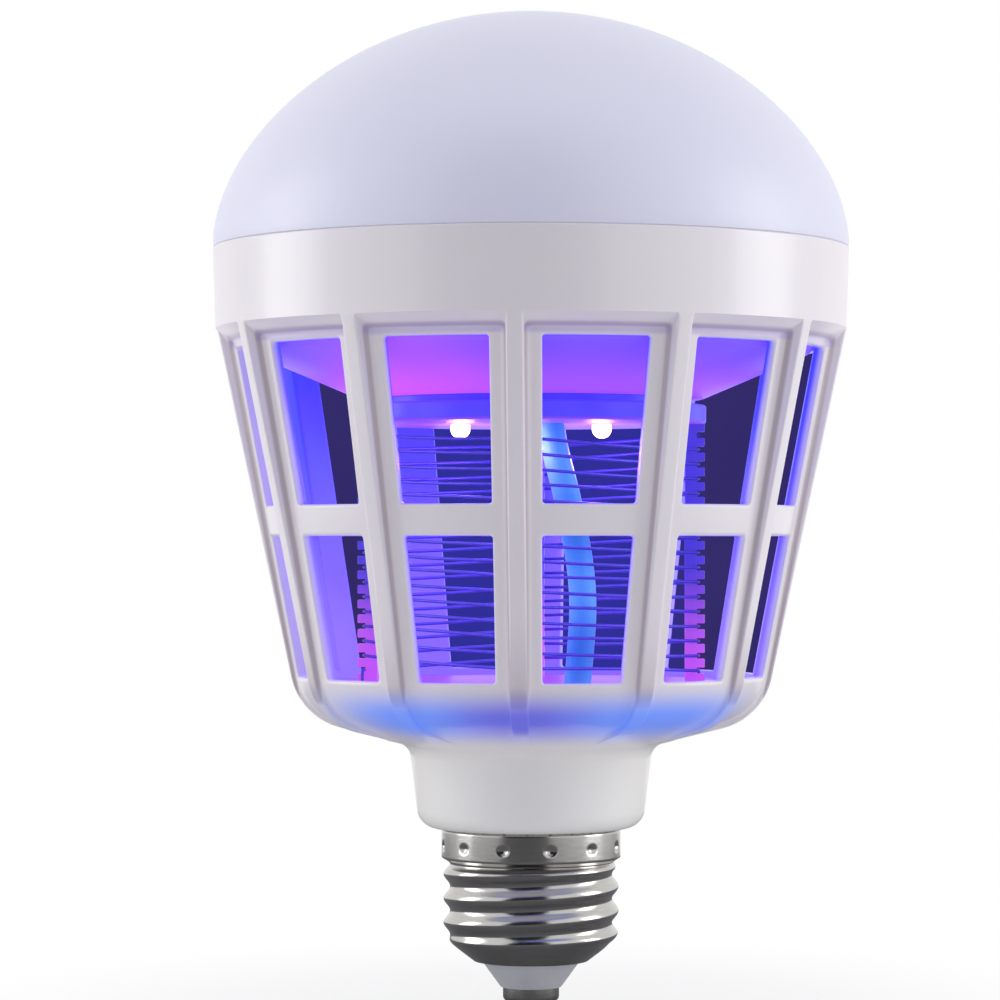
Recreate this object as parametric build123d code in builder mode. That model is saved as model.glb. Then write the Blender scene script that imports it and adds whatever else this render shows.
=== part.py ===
from build123d import *
import os
from math import asin, cos, pi, radians, sin, sqrt, tan

# Insect killer light bulb, cap down. Origin on the axis at the tip of the centre contact, Z up, millimetres.
# A rib of the cage points along -Y, and the other eleven follow at equal steps.

os.makedirs("parts", exist_ok=True)

# Heights, stacked from the tip of the contact to the crown of the dome
contact_height = 2.9
insulator_drop = 4.0
shell_length = 19.9
neck_height = 12.3
bowl_height = 10.5
lower_window_height = 20.8
crossbar_height = 4.5
upper_window_height = 23.3
window_head = 3.1
rim_height = 12.0
dome_height = 35.2

shell_foot_z = contact_height + insulator_drop
neck_foot_z = shell_foot_z + shell_length
neck_head_z = neck_foot_z + neck_height
lower_window_z = neck_head_z + bowl_height
crossbar_z = lower_window_z + lower_window_height
upper_window_z = crossbar_z + crossbar_height
window_top_z = upper_window_z + upper_window_height
rim_foot_z = window_top_z + window_head
seam_z = rim_foot_z + rim_height

# Cage housing
rim_radius = 47.5
rim_foot_inset = 0.4
rim_wall = 2.1
cone_angle = 12.06
bowl_corner_drop = 6.39
neck_overhang = 3.35
neck_flare = 1.45
neck_wall = 2.2
neck_foot_round = 3.0
neck_hollow_round = 2.5
bowl_round = 10.0
rim_round = 40.0
rib_count = 12
rib_width = 2.5
rib_root_round = 1.1
recess_top = 2.3
recess_foot = 1.0
recess_ledge = 2.1
recess_fade = 3.4
panel_wall = 1.8
panel_bowl_round = 8.0
panel_corner_lift = 1.6
pocket_margin = 6.0
window_top_width = 15.4
window_foot_width = 11.5
window_corner = 0.7
seat_gap = 0.2
upright_limit = 0.01

# Dome: how far its flank stays upright and how far its crown stays flat, as parts of its height and radius
dome_wall = 1.5
dome_lip = 4.0
dome_upright = 0.45
dome_crown = 0.57

# Lamp tray and lamp board
tray_wall = 1.5
tray_floor_inset = 0.4
tray_depth = 10.4
tray_cone_angle = 22.95
tray_flange = 1.5
tray_shelf = 2.0
tray_boss_radius = 3.0
tray_boss_offset = 5.0
board_drop = 0.75
board_thickness = 1.5
board_screw_count = 3
lamp_led_count = 12
lamp_led_inset = 15.0
lamp_led_length = 3.5
lamp_led_width = 2.8
lamp_led_height = 0.8

# Screws, all of one size
screw_radius = 1.1
screw_head_radius = 2.0
screw_head_height = 1.3
screw_length = 5.0
screw_hole_gap = 0.1
head_screw_turns = (45, 225)

# Killing grid: head, base, comb posts and wires
base_drop = 1.1
base_thickness = 2.0
base_seat_width = 2.6
head_rim = 0.2
head_height = 3.8
head_step = 1.0
head_collar_inset = 2.4
head_wall = 1.5
head_recess_gap = 1.0
post_count = 4
post_inset = 6.46
post_depth = 3.0
post_width = 1.8
post_tenon = 1.0
notch_depth = 1.2
wire_radius = 0.4
wire_gap = 0.05
wire_bend_gap = 0.3
wire_turns = 8
wire_top_drop = 1.6
wire_foot_rise = 1.8
wire_tail_gap = 2.0
wire_tail_x = 16.0

# Ultraviolet LEDs
uv_led_count = 4
uv_led_ring = 10.6
uv_led_radius = 1.5
uv_led_reach = 2.1
uv_board_inset = 7.2
uv_board_thickness = 1.2

# Sleeve and leads
sleeve_radius = 2.0
sleeve_bore = 1.6
sleeve_head_x = 3.2
sleeve_foot_x = 6.8
sleeve_head_rise = 3.6
sleeve_foot_drop = 1.5
sleeve_bow = [(3.2, 0.96), (6.0, 0.7), (8.3, 0.36), (7.6, 0.09)]
sleeve_plane_y = -7.5
lead_radius = 0.55
lead_spread = 0.75
bend_share = 0.45
lamp_lead_drop = 3.2
lamp_lead_step = 1.0
hv_solder_x = 9.0
supply_lead_rise = 3.5
supply_lead_loop = 2.8
shell_lead_x = 6.0

# Driver board, which stands in two rails of the neck, and its parts
driver_side_gap = 2.55
driver_thickness = 1.2
driver_top_gap = 2.5
tongue_step = 3.5
tongue_foot_gap = 2.9
rail_foot = 1.5
rail_length = 8.5
rail_wall = 1.4
rail_cover = 1.2
rail_gap = 0.15
capacitor_radius = 4.0
capacitor_length = 9.0
bridge_size = (6.4, 2.4, 5.0)
chip_size = (5.0, 1.6, 4.0)
resistor_radius = 1.7
resistor_length = 8.0
choke_radius = 3.8
choke_core_radius = 1.8
choke_flange = 1.1
choke_height = 7.5
winding_radius = 3.3
winding_gap = 0.1
multiplier_size = (6.5, 4.0, 5.0)
diode_size = (4.4, 2.2, 2.6)
diode_count = 3
diode_spacing = 5.2
diode_drop = 2.4
resistor_leg_radius = 0.35
block_edge = 0.4
capacitor_x = 5.5
capacitor_drop = 6.5
choke_x = 4.8
choke_drop = 9.5
multiplier_x = 3.6
multiplier_drop = 8.0
chip_rise = 13.2
bridge_x = 3.5
bridge_rise = 10.2
resistor_x = 4.0
resistor_rise = 10.2

# Screw cap, to the standard of the 27 mm screw cap
cap_skirt_radius = 13.4
cap_skirt_height = 4.4
cap_collar_radius = 13.0
cap_insert = 4.5
cap_shoulder = 0.8
cap_wall = 0.6
thread_major_radius = 13.1
thread_minor_radius = 12.13
thread_pitch = 3.629
thread_crest_z = 7.1
thread_flank = 1.45
thread_bite = 0.15
crimp_count = 12
crimp_radius = 0.75
crimp_depth = 0.35
crimp_drop = 2.6
shell_mouth_radius = 8.6
shell_mouth_height = 2.7
shell_mouth_round = 2.0
insulator_foot_radius = 4.5
insulator_waist_radius = 7.2
insulator_waist_drop = 0.3
insulator_top = 1.0
insulator_bore = 0.9
contact_radius = 4.2
contact_round = 0.8
solder_radius = 2.2
solder_height = 0.8

rim_foot_radius = rim_radius - rim_foot_inset
neck_foot_radius = cap_skirt_radius + neck_overhang
neck_head_radius = neck_foot_radius + neck_flare
cone_slope = tan(radians(cone_angle))
rib_step = 360 / rib_count


def cone_radius(z):
    """Outer radius of the ribs' slanting faces at a height."""
    return rim_foot_radius - cone_slope * (rim_foot_z - z)


# The bowl's underside meets the cone of the ribs here
bowl_corner_z = lower_window_z - bowl_corner_drop
bowl_corner_radius = cone_radius(bowl_corner_z)
rise_slope = (bowl_corner_z - neck_head_z) / (bowl_corner_radius - neck_head_radius)

# Panels between the ribs: a straight line from the window tops to the window feet
panel_top_z = rim_foot_z - recess_ledge
panel_top_radius = cone_radius(panel_top_z) - recess_top
panel_foot_radius = cone_radius(lower_window_z) - recess_foot
panel_slope = (panel_top_radius - panel_foot_radius) / (panel_top_z - lower_window_z)


def panel_radius(z):
    """Outer radius of the recessed panels at a height."""
    return panel_foot_radius + panel_slope * (z - lower_window_z)


def inside_radius(z):
    """Inner radius of the cage's wall at a height."""
    return panel_radius(z) - panel_wall


fade_radius = neck_head_radius + recess_fade
fade_z = neck_head_z + rise_slope * recess_fade
panel_corner_z = bowl_corner_z + panel_corner_lift
panel_corner_radius = panel_radius(panel_corner_z)

base_top_z = lower_window_z - base_drop
base_seat_z = base_top_z - base_thickness
base_radius = inside_radius(base_seat_z) - seat_gap
tray_floor_z = rim_foot_z - tray_depth
head_foot_z = tray_floor_z - head_height
grid_height = head_foot_z - base_top_z
post_tip_radius = base_radius - post_inset
head_radius = post_tip_radius + head_rim
tray_floor_radius = head_radius - tray_floor_inset
uv_board_radius = head_radius - uv_board_inset
tray_radius = inside_radius(rim_foot_z - recess_ledge) - 2 * seat_gap
ledge_z = rim_foot_z - recess_ledge + panel_wall
rim_inside_radius = rim_foot_radius - rim_wall

# The shell's slanting mouth carries the insulator
mouth_slope = shell_mouth_height / (thread_minor_radius - shell_mouth_radius)
shell_inner_radius = thread_minor_radius - cap_wall
mouth_inner_radius = shell_mouth_radius - cap_wall * sqrt(1 + mouth_slope**2) / mouth_slope
inner_knee_z = shell_foot_z + mouth_slope * (shell_inner_radius - mouth_inner_radius)
insulator_top_z = inner_knee_z + insulator_top

# The sleeve's route in its own upright plane: its bow is given by shares of the grid's height
sleeve_path = [(sleeve_head_x, tray_floor_z + sleeve_head_rise)]
sleeve_path += [(x, base_top_z + share * grid_height) for x, share in sleeve_bow]
sleeve_path += [(sleeve_foot_x, base_seat_z - sleeve_foot_drop)]


def sleeve_x(z):
    """Where the middle of the sleeve's last run passes a height."""
    (upper_x, upper_z), (lower_x, lower_z) = sleeve_path[-2:]
    return lower_x + (upper_x - lower_x) * (z - lower_z) / (upper_z - lower_z)


# Cage housing: one moulding, turned section first
neck_bore_radius = cap_collar_radius + seat_gap
neck_inside_radius = neck_foot_radius - neck_wall
driver_width = 2 * (neck_inside_radius - driver_side_gap)
tongue_width = driver_width - 2 * tongue_step
cap_seat_z = neck_foot_z + cap_insert
bowl_floor_z = neck_head_z + neck_wall
seat_inner_radius = base_radius + seat_gap - base_seat_width
seat_skirt_z = bowl_floor_z + rise_slope * (seat_inner_radius - neck_inside_radius) + recess_foot

with BuildPart() as cage_housing:
    with BuildSketch(Plane.XZ):
        with BuildLine():
            outside = FilletPolyline(
                (neck_bore_radius, neck_foot_z),
                (neck_foot_radius, neck_foot_z),
                (neck_head_radius, neck_head_z),
                (bowl_corner_radius, bowl_corner_z),
                (rim_foot_radius, rim_foot_z),
                (rim_radius, seam_z),
                radius=[neck_foot_round, neck_hollow_round, bowl_round, rim_round],
            )
            Polyline(
                outside @ 1,
                (rim_inside_radius, seam_z),
                (rim_inside_radius, ledge_z),
                (inside_radius(ledge_z), ledge_z),
                (inside_radius(base_seat_z), base_seat_z),
                (seat_inner_radius, base_seat_z),
                (seat_inner_radius, seat_skirt_z),
                (neck_inside_radius, bowl_floor_z),
                (neck_inside_radius, cap_seat_z),
                (neck_bore_radius, cap_seat_z),
                (neck_bore_radius, neck_foot_z),
            )
        make_face()
    revolve(axis=Axis.Z)


def within_cone(point):
    """Whether a point lies behind the ribs' slanting faces."""
    return sqrt(point.X**2 + point.Y**2) < cone_radius(point.Z)


# One recess between two ribs, made as the solid that is taken away
pocket_reach = rim_radius + pocket_margin
rib_cut = 2 * (pocket_reach + seam_z)
with BuildPart() as recess:
    with BuildSketch(Plane.XZ):
        with BuildLine():
            panel_line = FilletPolyline(
                (fade_radius, fade_z),
                (panel_corner_radius, panel_corner_z),
                (panel_top_radius, panel_top_z),
                radius=panel_bowl_round,
            )
            Polyline(
                panel_line @ 1,
                (rim_foot_radius, rim_foot_z),
                (pocket_reach, rim_foot_z),
                (pocket_reach, neck_head_z - pocket_margin),
                (fade_radius, neck_head_z - pocket_margin),
                (fade_radius, fade_z),
            )
        make_face()
    revolve(axis=Axis.Z, revolution_arc=rib_step)
    for side in (0, rib_step):
        with Locations(Location((0, 0, 0), (0, 0, side))):
            Box(rib_cut, rib_width, rib_cut, mode=Mode.SUBTRACT)
    flat_faces = recess.faces().filter_by(GeomType.PLANE)
    rib_planes = flat_faces.filter_by(lambda face: abs(face.normal_at().Z) < upright_limit)
    long_edges = rib_planes.edges().filter_by(lambda edge: edge.center().Z > fade_z)
    root_edges = long_edges.filter_by(lambda edge: within_cone(edge.center()))
    fillet(root_edges, rib_root_round)

# One pair of windows, cut straight through the panel
window_slant = (window_top_width - window_foot_width) / 2 / (window_top_z - lower_window_z)


def window_half_width(z):
    """Half the width of the windows' opening at a height."""
    return window_foot_width / 2 + window_slant * (z - lower_window_z)


window_plane = Plane.YZ.offset(seat_inner_radius - pocket_margin)
with BuildPart() as window_pair:
    for foot, top in ((lower_window_z, crossbar_z), (upper_window_z, window_top_z)):
        with BuildSketch(window_plane):
            with BuildLine():
                Polyline(
                    (-window_half_width(foot), foot),
                    (window_half_width(foot), foot),
                    (window_half_width(top), top),
                    (-window_half_width(top), top),
                    close=True,
                )
            corners = make_face().vertices()
            fillet(corners, window_corner)
        extrude(amount=pocket_reach)

# Rails for the driver board stand on both sides of the neck's inside
rail_foot_z = cap_seat_z
rail_inner_x = driver_width / 2 - rail_cover
rail_half_depth = driver_thickness / 2 + rail_gap + rail_wall
slot_end_x = driver_width / 2 + rail_gap
neck_middle_radius = neck_inside_radius + neck_wall / 2

with BuildPart() as rails:
    for side in (-1, 1):
        with BuildSketch(Plane.XY.offset(rail_foot_z)):
            with Locations((side * (rail_inner_x + neck_middle_radius) / 2, 0)):
                Rectangle(neck_middle_radius - rail_inner_x, 2 * rail_half_depth)
        extrude(amount=rail_length)
    with BuildSketch(Plane.XY.offset(rail_foot_z + rail_foot)):
        Rectangle(2 * slot_end_x, driver_thickness + 2 * rail_gap)
    extrude(amount=rail_length, mode=Mode.SUBTRACT)

with cage_housing:
    with PolarLocations(0, rib_count):
        add(recess.part, mode=Mode.SUBTRACT)
    with PolarLocations(0, rib_count, start_angle=rib_step / 2):
        add(window_pair.part, mode=Mode.SUBTRACT)
    add(rails.part)

cage_housing.part.label = "cage_housing"
export_step(cage_housing.part, "parts/cage_housing.step")

# Diffuser dome: a curved skin that stands on the rim, with a lip inside it
lip_radius = rim_inside_radius - seat_gap
dome_inner_radius = lip_radius - dome_wall


def dome_side(radius, height):
    """Control points of a dome's side, from its foot to its crown."""
    crown_z = seam_z + height
    upright = (radius, seam_z + dome_upright * height)
    return [(radius, seam_z), upright, (dome_crown * radius, crown_z), (0, crown_z)]


with BuildPart() as diffuser_dome:
    with BuildSketch(Plane.XZ):
        with BuildLine():
            Bezier(*dome_side(rim_radius, dome_height))
            Line((0, seam_z + dome_height), (0, seam_z + dome_height - dome_wall))
            Bezier(*dome_side(dome_inner_radius, dome_height - dome_wall))
            Polyline(
                (dome_inner_radius, seam_z),
                (dome_inner_radius, seam_z - dome_lip),
                (lip_radius, seam_z - dome_lip),
                (lip_radius, seam_z),
                (rim_radius, seam_z),
            )
        make_face()
    revolve(axis=Axis.Z)

diffuser_dome.part.label = "diffuser_dome"
export_step(diffuser_dome.part, "parts/diffuser_dome.step")

# Lamp tray: floor, cone, wall and a flange that lies on the rim's ledge
tray_slope = tan(radians(tray_cone_angle))
tray_cone_z = tray_floor_z + tray_slope * (tray_radius - tray_floor_radius)
tray_lift = tray_wall / cos(radians(tray_cone_angle))
tray_inner_radius = tray_radius - tray_wall
shelf_radius = tray_inner_radius - tray_shelf
tray_top_z = ledge_z + tray_flange
board_seat_z = tray_top_z - board_drop - board_thickness
tray_boss_ring = tray_radius - tray_boss_offset
boss_foot_z = tray_floor_z + tray_slope * (tray_boss_ring + tray_boss_radius - tray_floor_radius) + seat_gap


def tray_inside_z(radius):
    """Height of the tray's inner cone at a radius."""
    return tray_floor_z + tray_lift + tray_slope * (radius - tray_floor_radius)


head_recess_radius = uv_board_radius + head_recess_gap
head_screw_ring = (head_radius - head_collar_inset + head_recess_radius) / 2

with BuildPart() as lamp_tray:
    with BuildSketch(Plane.XZ):
        with BuildLine():
            Polyline(
                (0, tray_floor_z),
                (tray_floor_radius, tray_floor_z),
                (tray_radius, tray_cone_z),
                (tray_radius, ledge_z),
                (lip_radius, ledge_z),
                (lip_radius, tray_top_z),
                (tray_inner_radius, tray_top_z),
                (tray_inner_radius, board_seat_z),
                (shelf_radius, board_seat_z),
                (shelf_radius, tray_inside_z(shelf_radius)),
                (tray_floor_radius + (tray_wall - tray_lift) / tray_slope, tray_floor_z + tray_wall),
                (0, tray_floor_z + tray_wall),
                close=True,
            )
        make_face()
    revolve(axis=Axis.Z)
    with BuildSketch(Plane.XY.offset(boss_foot_z)):
        with PolarLocations(tray_boss_ring, board_screw_count):
            Circle(tray_boss_radius)
    extrude(amount=board_seat_z - boss_foot_z)
    with BuildSketch(Plane.XY.offset(boss_foot_z)):
        with PolarLocations(tray_boss_ring, board_screw_count):
            Circle(screw_radius + screw_hole_gap)
    extrude(amount=board_seat_z - boss_foot_z, mode=Mode.SUBTRACT)
    with BuildSketch(Plane.XY.offset(tray_floor_z)):
        with Locations((sleeve_path[0][0], sleeve_plane_y)):
            Circle(sleeve_radius + seat_gap)
        for turn in head_screw_turns:
            with PolarLocations(head_screw_ring, 1, start_angle=turn):
                Circle(screw_radius + screw_hole_gap)
    extrude(amount=tray_wall, mode=Mode.SUBTRACT)

lamp_tray.part.label = "lamp_tray"
export_step(lamp_tray.part, "parts/lamp_tray.step")

# Lamp board with its ring of light-emitting diodes and its screws
board_top_z = board_seat_z + board_thickness
with BuildPart() as lamp_board:
    with BuildSketch(Plane.XY.offset(board_seat_z)):
        Circle(tray_inner_radius - seat_gap)
        with PolarLocations(tray_boss_ring, board_screw_count):
            Circle(screw_radius + screw_hole_gap, mode=Mode.SUBTRACT)
    extrude(amount=board_thickness)

lamp_board.part.label = "lamp_board"
export_step(lamp_board.part, "parts/lamp_board.step")

for number in range(lamp_led_count):
    turn = 360 * (number + 0.5) / lamp_led_count
    led_plane = Plane.XY.offset(board_top_z).rotated((0, 0, turn))
    with BuildPart() as lamp_led:
        with BuildSketch(led_plane):
            with Locations((tray_radius - lamp_led_inset, 0)):
                Rectangle(lamp_led_width, lamp_led_length)
        extrude(amount=lamp_led_height)
    lamp_led.part.label = f"lamp_led_{number + 1:02d}"
    export_step(lamp_led.part, f"parts/lamp_led_{number + 1:02d}.step")


def make_screws(seat_z, ring, turns, length):
    """Pan-head screws that point down, with their heads on a seat."""
    with BuildPart() as screws:
        for turn in turns:
            with BuildSketch(Plane.XY.offset(seat_z)):
                with PolarLocations(ring, 1, start_angle=turn):
                    Circle(screw_head_radius)
            extrude(amount=screw_head_height)
            with BuildSketch(Plane.XY.offset(seat_z)):
                with PolarLocations(ring, 1, start_angle=turn):
                    Circle(screw_radius)
            extrude(amount=-length)
    return screws


board_screw_turns = [360 * number / board_screw_count for number in range(board_screw_count)]
board_screws = make_screws(board_top_z, tray_boss_ring, board_screw_turns, board_top_z - boss_foot_z)
board_screws.part.label = "board_screws"
export_step(board_screws.part, "parts/board_screws.step")

head_screws = make_screws(tray_floor_z + tray_wall, head_screw_ring, head_screw_turns, screw_length)
head_screws.part.label = "head_screws"
export_step(head_screws.part, "parts/head_screws.step")

# Grid head: a shallow cup under the tray that holds the ultraviolet board and the posts' upper ends
head_floor_z = head_foot_z + head_wall
post_middle_radius = post_tip_radius - post_depth / 2
sleeve_hole_radius = sleeve_radius + seat_gap

with BuildPart() as grid_head:
    with BuildSketch(Plane.XZ):
        with BuildLine():
            Polyline(
                (0, head_foot_z),
                (head_radius, head_foot_z),
                (head_radius, tray_floor_z - head_step),
                (head_radius - head_collar_inset, tray_floor_z - head_step),
                (head_radius - head_collar_inset, tray_floor_z),
                (head_recess_radius, tray_floor_z),
                (head_recess_radius, head_floor_z),
                (0, head_floor_z),
                close=True,
            )
        make_face()
    revolve(axis=Axis.Z)
    with BuildSketch(Plane.XY.offset(head_foot_z)):
        with PolarLocations(uv_led_ring, uv_led_count):
            Circle(uv_led_radius + screw_hole_gap)
        with Locations((sleeve_path[0][0], sleeve_plane_y)):
            Circle(sleeve_hole_radius)
    extrude(amount=head_wall, mode=Mode.SUBTRACT)
    with BuildSketch(Plane.XY.offset(head_foot_z)):
        with PolarLocations(post_middle_radius, post_count):
            Rectangle(post_depth + 2 * screw_hole_gap, post_width + 2 * screw_hole_gap)
    extrude(amount=post_tenon + screw_hole_gap, mode=Mode.SUBTRACT)
    with BuildSketch(Plane.XY.offset(tray_floor_z)):
        for turn in head_screw_turns:
            with PolarLocations(head_screw_ring, 1, start_angle=turn):
                Circle(screw_radius + screw_hole_gap)
    extrude(amount=tray_wall - screw_length - screw_hole_gap, mode=Mode.SUBTRACT)

grid_head.part.label = "grid_head"
export_step(grid_head.part, "parts/grid_head.step")

with BuildPart() as uv_board:
    with BuildSketch(Plane.XY.offset(head_floor_z)):
        Circle(uv_board_radius)
        with Locations((sleeve_path[0][0], sleeve_plane_y)):
            Circle(sleeve_hole_radius, mode=Mode.SUBTRACT)
    extrude(amount=uv_board_thickness)

uv_board.part.label = "uv_board"
export_step(uv_board.part, "parts/uv_board.step")

# Each ultraviolet LED hangs from the board through a hole in the head's floor, with a round lens below
lens_middle_z = head_foot_z - uv_led_reach + uv_led_radius
for number in range(uv_led_count):
    turn = 360 * number / uv_led_count
    with BuildPart() as uv_led:
        with BuildSketch(Plane.XZ):
            with BuildLine():
                Line((0, head_floor_z), (uv_led_radius, head_floor_z))
                Line((uv_led_radius, head_floor_z), (uv_led_radius, lens_middle_z))
                lens = CenterArc((0, lens_middle_z), uv_led_radius, 0, -90)
                Line(lens @ 1, (0, head_floor_z))
            make_face()
        revolve(axis=Axis.Z)
    placed_led = Rot(0, 0, turn) * Pos(uv_led_ring, 0, 0) * uv_led.part
    placed_led.label = f"uv_led_{number + 1}"
    export_step(placed_led, f"parts/uv_led_{number + 1}.step")

# Grid base: the chamber's floor, which lies on the seat in the bowl
wire_corner_radius = post_tip_radius - notch_depth + wire_radius + wire_gap
tail_offset = post_width / 2 + wire_tail_gap
with BuildPart() as grid_base:
    with BuildSketch(Plane.XY.offset(base_seat_z)):
        Circle(base_radius)
        with Locations((sleeve_x(base_seat_z + base_thickness / 2), sleeve_plane_y)):
            Circle(sleeve_hole_radius, mode=Mode.SUBTRACT)
        for side in (-1, 1):
            with Locations((side * wire_corner_radius, side * tail_offset)):
                Circle(wire_radius + seat_gap, mode=Mode.SUBTRACT)
    extrude(amount=base_thickness)
    with BuildSketch(Plane.XY.offset(base_top_z)):
        with PolarLocations(post_middle_radius, post_count):
            Rectangle(post_depth + 2 * screw_hole_gap, post_width + 2 * screw_hole_gap)
    extrude(amount=-post_tenon - screw_hole_gap, mode=Mode.SUBTRACT)

grid_base.part.label = "grid_base"
export_step(grid_base.part, "parts/grid_base.step")

# Comb posts: the notches of neighbouring posts are a quarter of a wire's turn apart
wire_top_z = head_foot_z - wire_top_drop
wire_steps = post_count * wire_turns
wire_step = (grid_height - wire_top_drop - wire_foot_rise) / wire_steps
notch_height = 2 * (wire_radius + wire_gap)

for number in range(post_count):
    turn = (0, 0, 360 * number / post_count)
    post_plane = Plane.XY.offset(base_top_z - post_tenon).rotated(turn)
    with BuildPart() as comb_post:
        with BuildSketch(post_plane):
            with Locations((post_middle_radius, 0)):
                Rectangle(post_depth, post_width)
        extrude(amount=grid_height + 2 * post_tenon)
        for step in range(number % 2, wire_steps + 1, 2):
            notch_foot_z = wire_top_z - wire_step * step - notch_height / 2
            notch_plane = Plane.XY.offset(notch_foot_z).rotated(turn)
            with BuildSketch(notch_plane):
                with Locations((post_tip_radius - notch_depth / 2, 0)):
                    Rectangle(notch_depth, 2 * post_width)
            extrude(amount=notch_height, mode=Mode.SUBTRACT)
    comb_post.part.label = f"comb_post_{number + 1}"
    export_step(comb_post.part, f"parts/comb_post_{number + 1}.step")

# Grid wires: each runs flat across a post and then straight to the next, a step lower
tail_z = base_seat_z - 2 * wire_radius - seat_gap
wire_bend_offset = post_width / 2 + wire_bend_gap
wire_points = []
for step in range(wire_steps + 1):
    turn = radians(360 * step / post_count)
    for across in (-wire_bend_offset, wire_bend_offset):
        x = wire_corner_radius * cos(turn) - across * sin(turn)
        y = wire_corner_radius * sin(turn) + across * cos(turn)
        wire_points.append((x, y, wire_top_z - wire_step * step))
wire_points.append((wire_corner_radius, tail_offset, wire_points[-1][2]))
wire_points.append((wire_corner_radius, tail_offset, tail_z))
wire_points.append((wire_tail_x, tail_offset, tail_z))

with BuildPart() as grid_wire:
    with BuildLine() as wire_line:
        Polyline(*wire_points)
    with BuildSketch(Plane(origin=wire_points[0], z_dir=wire_line.line % 0)):
        Circle(wire_radius)
    sweep(path=wire_line.line, transition=Transition.RIGHT)

for turn, name in ((0, "grid_wire_live"), (180, "grid_wire_return")):
    placed_wire = Rot(0, 0, turn) * grid_wire.part
    placed_wire.label = name
    export_step(placed_wire, f"parts/{name}.step")


def bend_radii(points):
    """As large a radius at each corner as its two runs leave room for."""
    radii = []
    for before, corner, after in zip(points, points[1:], points[2:]):
        first = Vector(*corner) - Vector(*before)
        second = Vector(*after) - Vector(*corner)
        half_turn = radians(first.get_angle(second) / 2)
        radii.append(bend_share * min(first.length, second.length) / tan(half_turn))
    return radii


def make_lead(points, radius, bore=0):
    """A lead or sleeve of straight runs joined by arcs."""
    radii = bend_radii(points)
    print("bend radii", [round(value, 1) for value in radii])
    with BuildPart() as lead:
        with BuildLine() as route:
            FilletPolyline(*points, radius=radii)
        with BuildSketch(Plane(origin=points[0], z_dir=Vector(*points[1]) - Vector(*points[0]))):
            Circle(radius)
            if bore:
                Circle(bore, mode=Mode.SUBTRACT)
        sweep(path=route.line)
    section = pi * (radius**2 - bore**2)
    length = sum(run.length for run in route.edges())
    print("volume over section times length", round(lead.part.volume / (section * length), 4))
    return lead


# Sleeve of the lamp leads, bowed inside the grid, and the two leads in it
sleeve_points = [(x, sleeve_plane_y, z) for x, z in sleeve_path]
lead_sleeve = make_lead(sleeve_points, sleeve_radius, sleeve_bore)
lead_sleeve.part.label = "lead_sleeve"
export_step(lead_sleeve.part, "parts/lead_sleeve.step")

driver_face_y = driver_thickness / 2
driver_shoulder_z = rail_foot_z + rail_foot
driver_top_z = base_seat_z - driver_top_gap
driver_foot_z = insulator_top_z + tongue_foot_gap

for side, name in ((-1, "lamp_lead_positive"), (1, "lamp_lead_negative")):
    lead_y = sleeve_plane_y + side * lead_spread
    solder_z = driver_top_z - lamp_lead_drop + side * lamp_lead_step
    points = [(sleeve_path[0][0], lead_y, board_seat_z)]
    points += [(x, lead_y, z) for x, z in sleeve_path[1:-1]]
    points += [(sleeve_x(solder_z), lead_y, solder_z), (sleeve_x(solder_z), -driver_face_y, solder_z)]
    lamp_lead = make_lead(points, lead_radius)
    lamp_lead.part.label = name
    export_step(lamp_lead.part, f"parts/{name}.step")

# High-voltage leads carry on from the wires' tails to the driver board
hv_points = [
    (wire_tail_x, tail_offset, tail_z),
    (hv_solder_x, tail_offset, tail_z),
    (hv_solder_x, tail_offset, driver_top_z - lamp_lead_drop),
    (hv_solder_x, driver_face_y, driver_top_z - lamp_lead_drop),
]
hv_lead = make_lead(hv_points, lead_radius)
for turn, name in ((0, "hv_lead_live"), (180, "hv_lead_return")):
    placed_lead = Rot(0, 0, turn) * hv_lead.part
    placed_lead.label = name
    export_step(placed_lead, f"parts/{name}.step")

# Driver board: wide between the rails, with a narrow tongue down into the screw cap
with BuildPart() as driver_board:
    with BuildSketch(Plane.XZ.offset(-driver_face_y)):
        with Locations((0, (driver_shoulder_z + driver_top_z) / 2)):
            Rectangle(driver_width, driver_top_z - driver_shoulder_z)
        with Locations((0, (driver_foot_z + driver_shoulder_z) / 2)):
            Rectangle(tongue_width, driver_shoulder_z - driver_foot_z)
    extrude(amount=driver_thickness)

driver_board.part.label = "driver_board"
export_step(driver_board.part, "parts/driver_board.step")

front_face = Plane.XZ.offset(driver_face_y)
back_face = Plane(origin=(0, driver_face_y, 0), x_dir=(1, 0, 0), z_dir=(0, 1, 0))


def make_block(face, x, z, size, edge):
    """A moulded part of the driver, flat on one face of the board, with eased edges."""
    up = z if face is front_face else -z
    with BuildPart() as block:
        with BuildSketch(face):
            with Locations((x, up)):
                Rectangle(size[0], size[2])
        extrude(amount=size[1])
        chamfer(block.faces().sort_by(Axis.Y)[0 if face is front_face else -1].edges(), edge)
    return block


multiplier_z = driver_top_z - multiplier_drop
driver_blocks = [
    ("bridge_rectifier", front_face, bridge_x, driver_foot_z + bridge_rise, bridge_size),
    ("driver_chip", back_face, 0, driver_foot_z + chip_rise, chip_size),
    ("multiplier_capacitor_1", back_face, -multiplier_x, multiplier_z, multiplier_size),
    ("multiplier_capacitor_2", back_face, multiplier_x, multiplier_z, multiplier_size),
]
for name, face, x, z, size in driver_blocks:
    block = make_block(face, x, z, size, block_edge)
    block.part.label = name
    export_step(block.part, f"parts/{name}.step")

with BuildPart() as multiplier_diodes:
    with BuildSketch(back_face):
        with Locations((0, diode_drop - driver_top_z)):
            with GridLocations(diode_spacing, 0, diode_count, 1):
                Rectangle(diode_size[0], diode_size[2])
    extrude(amount=diode_size[1])

multiplier_diodes.part.label = "multiplier_diodes"
export_step(multiplier_diodes.part, "parts/multiplier_diodes.step")

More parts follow.
